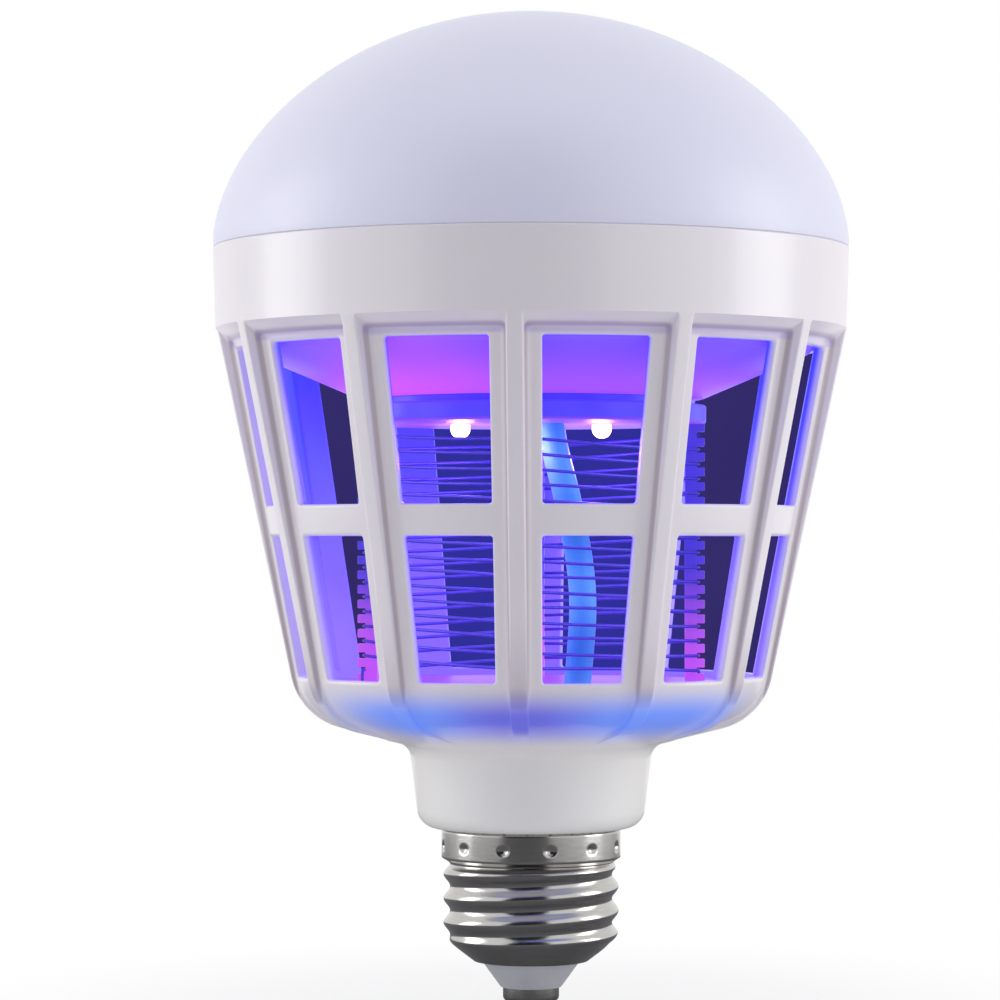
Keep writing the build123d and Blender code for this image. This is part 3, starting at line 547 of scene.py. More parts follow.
def fineSkin(tree, coords, grain, depth, strength=0.5, detail=3.0, rough=0.6):
    # a fine relief for the shader's Normal; the real grain is finer, and this is as coarse as needs to show
    relief = addNode(tree, "TexNoise", {"Vector": coords, "Scale": 1 / (grain * mm), "Detail": detail,
                                        "Roughness": rough})["Fac"]
    return addNode(tree, "Bump", {"Height": relief, "Distance": depth * mm, "Strength": strength})[0]


# materials of the lit object, each named for what it is made of

# a pair of numbers is a step, from where a painted light or shade starts to where it is full, apart from
# roughness, which is (least, spread); paleSide and bowlTurn are turns round the axis in degrees
whiteAbsLook = {
    "whites": ("#f0eaed", "#f4eff1"), "patch": 18, "neckWhiteAndPaintedLight": "#faf8f0", "neckFade": (41.0, 38.0),
    "rootPaintedShade": "#b4a5ab", "rootShare": 0.7, "rootOuter": (-1.3, -0.7), "rootInner": (-0.08, -0.4),
    "rootFoot": (40.5, 47.0), "rootTop": (100.6, 99.4),
    "windowFoot": (48.2, 49.2), "windowTop": (99.4, 98.6), "bevelDepth": (0.02, 0.3),
    "bevelPaintedLight": "#e6e2f6", "bevelShare": 0.7, "bevelGlow": "#b0a8e0", "bevelGlowShare": 0.12,
    "spillFoot": (98.2, 98.8), "spillTop": (100.4, 99.3), "spillDepth": (-1.1, -0.6),
    "spillPaintedLight": "#9c86ea", "spillShare": 0.3,
    "insideDepth": (0.5, 1.5), "insideFoot": (46.4, 46.6), "farAhead": (-2, 3), "farDepth": (0.03, 0.3),
    "paleSide": 195, "paleFade": (0.99, 0.965),
    "insidePaintedLights": ("#7a5cd4", "#3a38b4"), "insideClimb": (50.0, 92.0),
    "insideGlows": ("#7e68ee", "#4042e8"), "glowClimb": (50.0, 90.0), "glowStrength": 0.8,
    "bowlFoot": (39.6, 43.4), "bowlTop": (49.5, 44.5), "bowlTurn": -84, "bowlFade": (0.0, 0.6),
    "bowlPaintedLights": ("#6f62c8", "#7ba2f6"), "bowlGlow": "#4050a8", "bowlPatch": 14, "bowlWaver": 6,
    "bowlAside": (6, 16),
    "skinGrain": 1.1, "skinDepth": 0.004, "polishPatch": 9, "roughness": (0.27, 0.06),
}


def glossyWhiteAbs():
    # glossy injection-moulded ABS: an even warm white, with painted violet light on its inner faces, bowl,
    # window bevels and recess tops, painted shade at the ribs' roots and a neck made lighter with painted
    # light
    look = whiteAbsLook
    material, tree, shader = startMaterial("glossyWhiteMouldedAbs")
    coords, (x, y, height) = objectPlace(tree)
    depth = panelDepth(tree, x, y, height)
    colour = patchyColour(tree, coords, look["patch"], *look["whites"], 2.0)
    # the neck is a plainer white, and lighter as painted light that lifts the shade the bowl casts on it
    neck = softShare(tree, (height, *look["neckFade"]))
    colour = addNode(tree, "Mix", {0: neck, 6: colour, 7: look["neckWhiteAndPaintedLight"]}, data_type="RGBA")[2]
    # painted shade: the ribs' roots are darkened to a warm mauve
    root = softShare(tree, (depth, *look["rootOuter"]), (depth, *look["rootInner"]),
                     (height, *look["rootFoot"]), (height, *look["rootTop"]))
    root = addNode(tree, "Math", {0: root, 1: look["rootShare"]}, operation="MULTIPLY")[0]
    colour = addNode(tree, "Mix", {0: root, 6: colour, 7: look["rootPaintedShade"]}, data_type="RGBA")[2]
    # painted blue to violet light in the bowl below the windows, in its colour and its glow
    bowl = softShare(tree, (height, *look["bowlFoot"]), (height, *look["bowlTop"]),
                     (roundTheAxis(tree, x, y, 2, look["bowlTurn"]), *look["bowlFade"]))
    aside = addNode(tree, "Math", {0: x}, operation="ABSOLUTE")[0]
    patches = addNode(tree, "TexNoise", {"Vector": coords, "Scale": 1 / (look["bowlPatch"] * mm),
                                         "Detail": 1.0, "Roughness": 0.4})["Fac"]
    aside = addNode(tree, "Math", {0: patches, 1: look["bowlWaver"], 2: aside}, operation="MULTIPLY_ADD")[0]
    away = softShare(tree, (aside, *look["bowlAside"]))
    violet, blue = look["bowlPaintedLights"]
    bowlPaintedLight = addNode(tree, "Mix", {0: away, 6: violet, 7: blue}, data_type="RGBA")[2]
    colour = addNode(tree, "Mix", {0: bowl, 6: colour, 7: bowlPaintedLight}, data_type="RGBA")[2]
    glow = addNode(tree, "Mix", {0: bowl, 6: "#000000", 7: look["bowlGlow"]}, data_type="RGBA")[2]
    # painted light on the bevels of the windows, where the light inside shows first, in their colour and glow
    windows = ((height, *look["windowFoot"]), (height, *look["windowTop"]))
    bevel = softShare(tree, (depth, *look["bevelDepth"]), *windows)
    bevelLightShare = addNode(tree, "Math", {0: bevel, 1: look["bevelShare"]}, operation="MULTIPLY")[0]
    glowShare = addNode(tree, "Math", {0: bevel, 1: look["bevelGlowShare"]}, operation="MULTIPLY")[0]
    colour = addNode(tree, "Mix", {0: bevelLightShare, 6: colour, 7: look["bevelPaintedLight"]}, data_type="RGBA")[2]
    glow = addNode(tree, "Mix", {0: glowShare, 6: glow, 7: look["bevelGlow"]}, data_type="RGBA")[2]
    # painted violet light spilled on the recess above the upper windows
    spill = softShare(tree, (height, *look["spillFoot"]), (height, *look["spillTop"]),
                      (depth, *look["spillDepth"]))
    spill = addNode(tree, "Math", {0: spill, 1: look["spillShare"]}, operation="MULTIPLY")[0]
    colour = addNode(tree, "Mix", {0: spill, 6: colour, 7: look["spillPaintedLight"]}, data_type="RGBA")[2]
    # the inside is lit, and so are the far windows' walls out to their edge, seen from within; a short
    # stretch at the left stays pale, as the photograph shows it
    # painted light: the inside and the far windows' walls take a violet colour and glow, standing in for the
    # ultraviolet LEDs' light
    deep = softShare(tree, (depth, *look["insideDepth"]))
    farSide = softShare(tree, (y, *look["farAhead"]), (depth, *look["farDepth"]), *windows)
    inside = addNode(tree, "Math", {0: deep, 1: farSide}, operation="MAXIMUM")[0]
    lit = softShare(tree, (height, *look["insideFoot"]),
                    (roundTheAxis(tree, x, y, 1, look["paleSide"]), *look["paleFade"]))
    inside = addNode(tree, "Math", {0: inside, 1: lit}, operation="MULTIPLY")[0]
    climb = softShare(tree, (height, *look["insideClimb"]))
    low, high = look["insidePaintedLights"]
    tint = addNode(tree, "Mix", {0: climb, 6: low, 7: high}, data_type="RGBA")[2]
    climb = softShare(tree, (height, *look["glowClimb"]))
    low, high = look["insideGlows"]
    shine = addNode(tree, "Mix", {0: climb, 6: low, 7: high}, data_type="RGBA")[2]
    polish = addNode(tree, "TexNoise", {"Vector": coords, "Scale": 1 / (look["polishPatch"] * mm),
                                        "Detail": 3.0, "Roughness": 0.6})["Fac"]
    least, spread = look["roughness"]
    setInputs(tree, shader, {
        "Base Color": addNode(tree, "Mix", {0: inside, 6: colour, 7: tint}, data_type="RGBA")[2],
        "Emission Color": addNode(tree, "Mix", {0: inside, 6: glow, 7: shine}, data_type="RGBA")[2],
        "Emission Strength": look["glowStrength"], "IOR": 1.54, "Coat Weight": 0.15, "Coat Roughness": 0.12,
        "Roughness": addNode(tree, "Math", {0: polish, 1: spread, 2: least}, operation="MULTIPLY_ADD")[0],
        "Normal": fineSkin(tree, coords, look["skinGrain"], look["skinDepth"], 0.3, 4.0)})
    return material


def opalPolycarbonate():
    # satin opal polycarbonate: a milky lavender grey that softens every highlight; its faint glow is painted
    # light from the LED beneath it
    material, tree, shader = startMaterial("satinOpalPolycarbonate")
    coords = addNode(tree, "TexCoord")["Object"]
    setInputs(tree, shader, {
        "Base Color": patchyColour(tree, coords, 30, "#d3d3e1", "#d8d8e6", 2.0),
        "Roughness": 0.42, "IOR": 1.585, "Subsurface Weight": 0.25, "Subsurface Scale": 0.004,
        "Subsurface Radius": (1.0, 1.0, 1.2), "Sheen Weight": 0.15, "Sheen Roughness": 0.5,
        "Emission Color": "#cfcfe6", "Emission Strength": 0.18,
        "Normal": fineSkin(tree, coords, 0.5, 0.01, 0.4, 2.0)})
    return material


def nickelPlate():
    # rolled sheet with nickel plate: sharp streaks, with a brushed haze from the thread roller
    material, tree, shader = startMaterial("nickelPlatedRolledSheet")
    coords = addNode(tree, "TexCoord")["Object"]
    rolled = addNode(tree, "Mapping", {"Vector": coords, "Scale": (1.0, 1.0, 9.0)})[0]
    streaks = addNode(tree, "TexNoise", {"Vector": rolled, "Scale": 1 / (3.0 * mm), "Detail": 5.0,
                                         "Roughness": 0.65})["Fac"]
    setInputs(tree, shader, {
        "Base Color": addNode(tree, "Mix", {0: streaks, 6: "#b0aeab", 7: "#cdcbc8"}, data_type="RGBA")[2],
        "Metallic": 1.0,
        "Roughness": addNode(tree, "Math", {0: streaks, 1: 0.12, 2: 0.12}, operation="MULTIPLY_ADD")[0],
        "Normal": fineSkin(tree, rolled, 0.8, 0.012, 0.6, 4.0, 0.7)})
    return material


def drawnSteelWire():
    # bright drawn stainless wire: its lilac colour and glow are painted ultraviolet light, all along the wire
    material, tree, shader = startMaterial("brightDrawnStainlessWire")
    coords = addNode(tree, "TexCoord")["Object"]
    setInputs(tree, shader, {
        "Base Color": patchyColour(tree, coords, 2.0, "#4c42a4", "#6258bc", 3.0, 0.6),
        "Metallic": 1.0, "Roughness": 0.45,
        "Emission Color": patchyColour(tree, coords, 2.0, "#4a3fb4", "#6457d0", 3.0, 0.6),
        "Emission Strength": 0.22})
    return material


def basePlastic():
    # moulded white ABS floor of the chamber: its violet colour and glow are painted ultraviolet light
    material, tree, shader = startMaterial("mouldedWhiteAbsGridBase")
    coords = addNode(tree, "TexCoord")["Object"]
    violet = linearColour("#8450bc")
    dark = tuple(part * 0.86 for part in violet[:3]) + (1.0,)
    setInputs(tree, shader, {
        "Base Color": patchyColour(tree, coords, 12, dark, violet, 2.0), "Roughness": 0.4, "IOR": 1.54,
        "Emission Color": "#a848e0", "Emission Strength": 0.5, "Normal": fineSkin(tree, coords, 0.9, 0.015)})
    return material


def headPlastic():
    # moulded white ABS head: its colour and glow are painted light, deep blue round its side and pink-violet
    # below, where the ultraviolet LEDs sit
    material, tree, shader = startMaterial("mouldedWhiteAbsGridHead")
    coords, place = objectPlace(tree)
    below = softShare(tree, (place["Z"], 87.6, 87.15))
    side = patchyColour(tree, coords, 12, "#6052c4", "#6c5cd8", 2.0)
    setInputs(tree, shader, {
        "Base Color": addNode(tree, "Mix", {0: below, 6: side, 7: "#8a5cc4"}, data_type="RGBA")[2],
        "Emission Color": addNode(tree, "Mix", {0: below, 6: "#4438e8", 7: "#9c50e0"}, data_type="RGBA")[2],
        "Emission Strength": 0.45, "Roughness": 0.4, "IOR": 1.54,
        "Normal": fineSkin(tree, coords, 0.9, 0.015)})
    return material


def combPlastic():
    # moulded white ABS comb: its colour and glow are painted light, pink near the lit base and dim
    # blue-violet towards the head
    material, tree, shader = startMaterial("mouldedWhiteAbsComb")
    coords, place = objectPlace(tree)
    waver = addNode(tree, "TexNoise", {"Vector": coords, "Scale": 1 / (6 * mm), "Detail": 2.0,
                                       "Roughness": 0.5})["Fac"]
    height = addNode(tree, "Math", {0: waver, 1: 4.0, 2: place["Z"]}, operation="MULTIPLY_ADD")[0]
    climb = softShare(tree, (height, 53.0, 70.0))
    setInputs(tree, shader, {
        "Base Color": addNode(tree, "Mix", {0: climb, 6: "#d088d8", 7: "#6a60c0"}, data_type="RGBA")[2],
        "Emission Color": addNode(tree, "Mix", {0: climb, 6: "#d050c8", 7: "#3c2ca0"}, data_type="RGBA")[2],
        "Emission Strength": 0.5, "Roughness": 0.4, "IOR": 1.54, "Normal": fineSkin(tree, coords, 0.9, 0.01)})
    return material


trayLook = {"patch": 14, "nearPaintedLights": ("#b05cd4", "#c46cd8"), "wallPaintedLight": "#6c54c0", "climb": (90.5, 97.5),
            "waver": 12, "leftward": (12, -12), "edge": (-34, -19),
            "lowGlows": ("#9048f4", "#d050e8"), "highGlows": ("#6c44f0", "#a44cf0"), "glowStrength": 0.8}


def trayPlastic():
    # moulded white ABS tray: its colour and glow are painted light, its underside turning from magenta at the
    # left of the disc to violet at the wall
    look = trayLook
    material, tree, shader = startMaterial("mouldedWhiteAbsTray")
    coords, place = objectPlace(tree)
    climb = softShare(tree, (place["Z"], *look["climb"]))
    cloud = addNode(tree, "TexNoise", {"Vector": coords, "Scale": 1 / (look["patch"] * mm), "Detail": 2.0,
                                       "Roughness": 0.5})["Fac"]
    near = addNode(tree, "Mix", {0: cloud, 6: look["nearPaintedLights"][0], 7: look["nearPaintedLights"][1]}, data_type="RGBA")[2]
    across = addNode(tree, "Math", {0: cloud, 1: look["waver"], 2: place["X"]}, operation="MULTIPLY_ADD")[0]
    left = softShare(tree, (across, *look["leftward"]), (place["X"], *look["edge"]))
    low, high = [addNode(tree, "Mix", {0: left, 6: glows[0], 7: glows[1]}, data_type="RGBA")[2]
                 for glows in (look["lowGlows"], look["highGlows"])]
    setInputs(tree, shader, {
        "Base Color": addNode(tree, "Mix", {0: climb, 6: near, 7: look["wallPaintedLight"]}, data_type="RGBA")[2],
        "Emission Color": addNode(tree, "Mix", {0: climb, 6: low, 7: high}, data_type="RGBA")[2],
        "Emission Strength": look["glowStrength"], "Roughness": 0.42, "IOR": 1.54,
        "Normal": fineSkin(tree, coords, 0.9, 0.015)})
    return material


def siliconeSleeve():
    # light blue silicone sleeve: a satin face with soft bands, about 18 mm from one to the next; its glow is
    # painted light
    material, tree, shader = startMaterial("lightBlueSiliconeSleeve")
    coords = addNode(tree, "TexCoord")["Object"]
    bandScale = pi / 10 / (17.756 * mm)  # a band texture repeats each tenth of pi
    ribs = addNode(tree, "TexWave", {"Vector": coords, "Scale": bandScale, "Distortion": 0.4, "Detail": 1.0},
                   wave_type="BANDS", bands_direction="Z")["Fac"]
    setInputs(tree, shader, {
        "Base Color": addNode(tree, "Mix", {0: ribs, 6: "#4a92c8", 7: "#70b4dc"}, data_type="RGBA")[2],
        "Emission Color": addNode(tree, "Mix", {0: ribs, 6: "#2c6cb0", 7: "#4494c8"}, data_type="RGBA")[2],
        "Emission Strength": 0.5, "Roughness": 0.45, "IOR": 1.41, "Sheen Weight": 0.2, "Sheen Roughness": 0.4,
        "Normal": addNode(tree, "Bump", {"Height": ribs, "Distance": 0.08 * mm, "Strength": 0.6})[0]})
    return material


def litUvEpoxy():
    # violet epoxy lens that is switched on: white at its lower end, violet above
    material, tree, shader = startMaterial("litVioletEpoxyLens")
    place = objectPlace(tree)[1]
    core = softShare(tree, (place["Z"], 86.6, 85.4))
    setInputs(tree, shader, {
        "Base Color": "#e6dcff", "Roughness": 0.08, "IOR": 1.55, "Coat Weight": 0.3,
        "Emission Color": addNode(tree, "Mix", {0: core, 6: "#b07cff", 7: "#fdf2ff"}, data_type="RGBA")[2],
        "Emission Strength": 6.0})
    return material


def tinnedSolder():
    # a drop of tin solder: bright, with frosted grains
    material, tree, shader = startMaterial("frostedTinSolder")
    coords = addNode(tree, "TexCoord")["Object"]
    grains = addNode(tree, "TexNoise", {"Vector": coords, "Scale": 1 / (0.5 * mm), "Detail": 4.0,
                                        "Roughness": 0.7})["Fac"]
    setInputs(tree, shader, {
        "Base Color": addNode(tree, "Mix", {0: grains, 6: "#a7a7a5", 7: "#c6c6c3"}, data_type="RGBA")[2],
        "Metallic": 1.0,
        "Roughness": addNode(tree, "Math", {0: grains, 1: 0.3, 2: 0.2}, operation="MULTIPLY_ADD")[0],
        "Normal": addNode(tree, "Bump", {"Height": grains, "Distance": 0.05 * mm, "Strength": 0.6})[0]})
    return material


def pressedInsulator():
    # pressed grey-white insulator: dry and matt, with faint clouding
    material, tree, shader = startMaterial("pressedGreyInsulator")
    coords = addNode(tree, "TexCoord")["Object"]
    setInputs(tree, shader, {
        "Base Color": patchyColour(tree, coords, 4.0, "#bcbcc0", "#cfcfd3", 4.0, 0.6),
        "Roughness": 0.55, "IOR": 1.52, "Normal": fineSkin(tree, coords, 0.4, 0.02)})
    return material


def hiddenPart(name, dark, pale, rough, metal=0.0, patch=2.0):
    # parts of the driver and the lamp: one even finish each, with small clouds and a fine skin
    material, tree, shader = startMaterial(name)
    coords = addNode(tree, "TexCoord")["Object"]
    setInputs(tree, shader, {
        "Base Color": patchyColour(tree, coords, patch, dark, pale, 3.0, 0.55),
        "Roughness": rough, "Metallic": metal, "Normal": fineSkin(tree, coords, patch / 6, 0.02)})
    return material


whiteAbs = glossyWhiteAbs()
opal = opalPolycarbonate()
nickel = nickelPlate()
wireSteel = drawnSteelWire()
trayAbs = trayPlastic()
headAbs = headPlastic()
postAbs = combPlastic()
baseAbs = basePlastic()
silicone = siliconeSleeve()
uvEpoxy = litUvEpoxy()
solder = tinnedSolder()
insulator = pressedInsulator()
print("materials ready")


# the pieces

wholeCage(whiteAbs)
print("cage moulding ready")

dome = {"radius": 47.5, "seam": 113.3, "height": 35.2, "upright": 0.45, "crown": 0.57, "wall": 1.5,
        "innerRadius": 43.3, "lipRadius": 44.8, "lip": 4.0, "edge": 0.35, "edgeRise": 0.1,
        "outerSteps": 64, "innerSteps": 40, "sides": 160}


def domeSide(radius, height, steps):
    top = dome["seam"] + height
    return bezier((radius, dome["seam"]), (radius, dome["seam"] + dome["upright"] * height),
                  (dome["crown"] * radius, top), (0, top), steps)


domeProfile = [(dome["innerRadius"], dome["seam"] - dome["lip"]),
               (dome["lipRadius"], dome["seam"] - dome["lip"]),
               (dome["lipRadius"], dome["seam"]), (dome["radius"] - dome["edge"], dome["seam"]),
               (dome["radius"] - dome["edgeRise"], dome["seam"] + dome["edgeRise"])]
domeProfile += domeSide(dome["radius"], dome["height"], dome["outerSteps"])[1:]
domeProfile += reversed(domeSide(dome["innerRadius"], dome["height"] - dome["wall"], dome["innerSteps"]))
points, faces = turned(domeProfile, dome["sides"], True)
meshPiece("opalDome", points, faces, opal, ["diffuser_dome"], 40)
print("dome ready")

tray = {"floorZ": 90.9, "floorRadius": 25.8, "radius": 42.15, "coneZ": 97.82, "ledge": 101.0, "lip": 44.8,
        "top": 102.5, "inner": 40.65, "seat": 100.25, "shelf": 38.65, "wall": 1.5, "lift": 1.63,
        "slope": 0.4235, "footRound": 1.0, "coneRound": 1.5, "ledgeRound": 0.2, "edgeRound": 0.3,
        "insideRound": 0.8, "insideInset": 0.3, "sides": 120}
trayProfile = rounded([
    (0, tray["floorZ"]), (tray["floorRadius"], tray["floorZ"], tray["footRound"]),
    (tray["radius"], tray["coneZ"], tray["coneRound"]), (tray["radius"], tray["ledge"]),
    (tray["lip"], tray["ledge"], tray["ledgeRound"]), (tray["lip"], tray["top"], tray["edgeRound"]),
    (tray["inner"], tray["top"], tray["ledgeRound"]), (tray["inner"], tray["seat"]),
    (tray["shelf"], tray["seat"], tray["edgeRound"]),
    (tray["shelf"], tray["floorZ"] + tray["lift"] + tray["slope"] * (tray["shelf"] - tray["floorRadius"])),
    (tray["floorRadius"] - tray["insideInset"], tray["floorZ"] + tray["wall"], tray["insideRound"]),
    (0, tray["floorZ"] + tray["wall"])], 5)
points, faces = turned(trayProfile, tray["sides"])
meshPiece("lampTrayFunnel", points, faces, trayAbs, ["lamp_tray"])

head = {"foot": 87.1, "radius": 26.2, "top": 90.9, "step": 1.0, "inset": 2.4, "recess": 20.0, "floor": 88.6,
        "footRound": 0.5, "stepRound": 0.35, "sides": 120}
headProfile = rounded([
    (0, head["foot"]), (head["radius"], head["foot"], head["footRound"]),
    (head["radius"], head["top"] - head["step"], head["stepRound"]),
    (head["radius"] - head["inset"], head["top"] - head["step"]),
    (head["radius"] - head["inset"], head["top"]),
    (head["recess"], head["top"]), (head["recess"], head["floor"]), (0, head["floor"])], 5)
points, faces = turned(headProfile, head["sides"])
meshPiece("gridHeadCup", points, faces, headAbs, ["grid_head"])

base = {"foot": 46.5, "top": 48.5, "radius": 32.48, "footRound": 0.2, "topRound": 0.4, "sides": 120}
baseProfile = rounded([(0, base["foot"]), (base["radius"], base["foot"], base["footRound"]),
                       (base["radius"], base["top"], base["topRound"]), (0, base["top"])], 4)
points, faces = turned(baseProfile, base["sides"])
meshPiece("gridBasePlate", points, faces, baseAbs, ["grid_base"])

post = {"tip": 26.0, "depth": 3.0, "half": 0.9, "foot": 47.5, "top": 88.1, "notch": 1.2, "open": 0.9,
        "wireTop": 85.5, "pitch": 1.1, "count": 32, "edge": 0.14}


def combPost(number):
    # a flat toothed bar; the notches of neighbouring posts lie half their spacing apart, as the wires climb
    outline = [(post["tip"] - post["depth"], post["foot"]), (post["tip"], post["foot"])]
    heights = [post["wireTop"] - post["pitch"] * step for step in range(number % 2, post["count"] + 1, 2)]
    for height in reversed(heights):
        low, high = height - post["open"] / 2, height + post["open"] / 2
        outline += [(post["tip"], low), (post["tip"] - post["notch"], low),
                    (post["tip"] - post["notch"], high), (post["tip"], high)]
    outline += [(post["tip"], post["top"]), (post["tip"] - post["depth"], post["top"])]
    turn = pi / 2 * number
    points = []
    for side in (-post["half"], post["half"]):
        points += [turnedPoint(r, side, z, turn) for r, z in outline]
    count = len(outline)
    faces = [tuple(range(count)), tuple(reversed(range(count, 2 * count)))]
    for place in range(count):
        after = (place + 1) % count
        faces.append((place, place + count, after + count, after))
    piece = meshPiece(f"combPost{number + 1}", points, faces, postAbs,
                      [f"comb_post_{number + 1}"], 30)
    easing = piece.modifiers.new("easedEdges", "BEVEL")
    easing.width = post["edge"] * mm
    easing.segments = 2
    easing.limit_method = "ANGLE"
    easing.harden_normals = True


for number in range(4):
    combPost(number)

# sagShape is (share of the way between two posts, share of the sag there)
wire = {"radius": 0.24, "sides": 8, "corner": 25.09, "bend": 1.2, "top": 85.5, "step": 1.1, "count": 32,
        "tailOffset": 2.9, "tailZ": 45.5, "tailX": 16.0, "sag": (-0.3, 0.15), "lean": (-0.2, 0.2),
        "sagShape": ((0.2, 0.55), (0.4, 0.95), (0.6, 1.0), (0.8, 0.6)), "seed": 11}
waver = random.Random(wire["seed"])


def gridWire(name, node, startTurn):
    # one wire wound round the four posts, a little slack between them
    path = []
    for step in range(wire["count"] + 1):
        turn = pi / 2 * step + startTurn
        z = wire["top"] - wire["step"] * step
        path.append(turnedPoint(wire["corner"], -wire["bend"], z, turn))
        path.append(turnedPoint(wire["corner"], wire["bend"], z, turn))
        if step < wire["count"]:
            last = path[-1]
            after = pi / 2 * (step + 1) + startTurn
            first = turnedPoint(wire["corner"], -wire["bend"], z - wire["step"], after)
            sag = waver.uniform(*wire["sag"])
            lean = waver.uniform(*wire["lean"])
            for share, weight in wire["sagShape"]:
                spot = [p + (q - p) * share for p, q in zip(last, first)]
                spot[2] += sag * weight + lean * (share - 0.5) * weight
                path.append(tuple(spot))
    tail = [(wire["corner"], wire["tailOffset"], path[-1][2]),
            (wire["corner"], wire["tailOffset"], wire["tailZ"]),
            (wire["tailX"], wire["tailOffset"], wire["tailZ"])]
    path += [turnedPoint(*spot, startTurn) for spot in tail]
    points, faces = tube(softened(path), wire["radius"], wire["sides"])
    meshPiece(name, points, faces, wireSteel, [node], 60)


gridWire("liveWire", "grid_wire_live", 0)
gridWire("returnWire", "grid_wire_return", pi)
print("killing grid ready")

lens = {"ring": 10.6, "radius": 1.5, "foot": 85.0, "top": 88.6, "arcSteps": 8, "sides": 32}
for number in range(4):
    turn = pi / 2 * number
    profile = [(0, lens["foot"])]
    for step in range(1, lens["arcSteps"] + 1):
        angle = pi / 2 * step / lens["arcSteps"]
        profile.append((lens["radius"] * sin(angle), lens["foot"] + lens["radius"] * (1 - cos(angle))))
    profile += [(lens["radius"], lens["top"]), (0, lens["top"])]
    middle = (lens["ring"] * cos(turn), lens["ring"] * sin(turn))
    points, faces = turned(profile, lens["sides"], False, middle)
    meshPiece(f"uvLens{number + 1}", points, faces, uvEpoxy, [f"uv_led_{number + 1}"])

sleeve = {"radius": 2.0, "y": -7.5, "sides": 28,
          "route": [(3.2, 94.5), (3.2, 85.5), (6.0, 75.5), (8.3, 62.5), (7.6, 52.0), (6.8, 45.0)]}
sleevePath = softened([(x, sleeve["y"], z) for x, z in sleeve["route"]], 4)
points, faces = tube(sleevePath, sleeve["radius"], sleeve["sides"])
meshPiece("leadSleeve", points, faces, silicone, ["lead_sleeve"], 60)
print("chamber fittings ready")

# rows are (lowest, highest, count) up the outside; the thread fades in and out over (start, reach)
cap = {"rows": ((6.9, 9.9, 22), (10.0, 21.4, 96), (21.5, 26.35, 34)), "topRows": 6, "sides": 288,
       "mouthZ": 6.9, "mouth": 8.6, "mouthSlope": 0.765, "mouthRound": 1.6, "minor": 12.13, "major": 13.1,
       "pitch": 3.629, "crestZ": 7.1, "threadIn": (8.3, 1.6), "threadOut": (21.9, 1.2),
       "shoulderZ": 21.6, "shoulderRound": 0.35, "skirtZ": 22.4, "skirtFullZ": 22.6, "skirt": 13.4,
       "skirtTop": 26.8, "topRound": 0.45, "rollZ": 26.3, "rollReach": 0.5, "roll": 0.25,
       "collar": 13.0, "collarTop": 31.3, "collarEdge": 0.15, "wall": 0.6, "innerSkirtZ": 23.0,
       "inner": 11.53, "innerTop": 22.2, "innerFoot": 9.9, "innerMouth": 7.62,
       "dimpleZ": 24.2, "dimples": 12, "dimpleDepth": 0.38, "dimpleRadius": 0.62}


def smoothLeast(a, b, width):
    # the smaller of two, with a soft turn from one to the other
    share = np.clip(0.5 + 0.5 * (b - a) / width, 0, 1)
    return b + (a - b) * share - width * share * (1 - share)


def capOutside(z, turn):
    # the radius of the rolled sheet at each height and turn: mouth, thread, shoulder, skirt and dimples
    phase = (z - cap["crestZ"] - cap["pitch"] * turn / (2 * pi)) / cap["pitch"]
    thread = cap["minor"] + (cap["major"] - cap["minor"]) * (0.5 + 0.5 * np.cos(2 * pi * phase))
    fadeIn = np.clip((z - cap["threadIn"][0]) / cap["threadIn"][1], 0, 1)
    fadeOut = np.clip((cap["threadOut"][0] - z) / cap["threadOut"][1], 0, 1)
    thread = cap["minor"] + (thread - cap["minor"]) * fadeIn * fadeOut
    mouth = cap["mouth"] + (z - cap["mouthZ"]) / cap["mouthSlope"]
    radius = smoothLeast(thread, mouth, cap["mouthRound"])
    rise = (z - cap["shoulderZ"]) / (cap["skirtZ"] - cap["shoulderZ"])
    shoulder = np.minimum(cap["skirt"], cap["minor"] + (cap["skirt"] - cap["minor"]) * rise)
    radius = -smoothLeast(-radius, -shoulder, cap["shoulderRound"])
    radius = np.where(z > cap["skirtFullZ"], cap["skirt"], radius)
    rolled = cap["skirt"] - cap["roll"] * ((z - cap["rollZ"]) / cap["rollReach"]) ** 2
    radius = np.where(z > cap["rollZ"], rolled, radius)
    for number in range(cap["dimples"]):
        middle = 2 * pi * (number + 0.5) / cap["dimples"]
        away = (turn - middle + pi) % (2 * pi) - pi
        distance = np.sqrt((away * cap["skirt"]) ** 2 + (z - cap["dimpleZ"]) ** 2)
        radius = radius - cap["dimpleDepth"] * np.exp(-(distance / cap["dimpleRadius"]) ** 4)
    return np.minimum(radius, cap["skirt"])


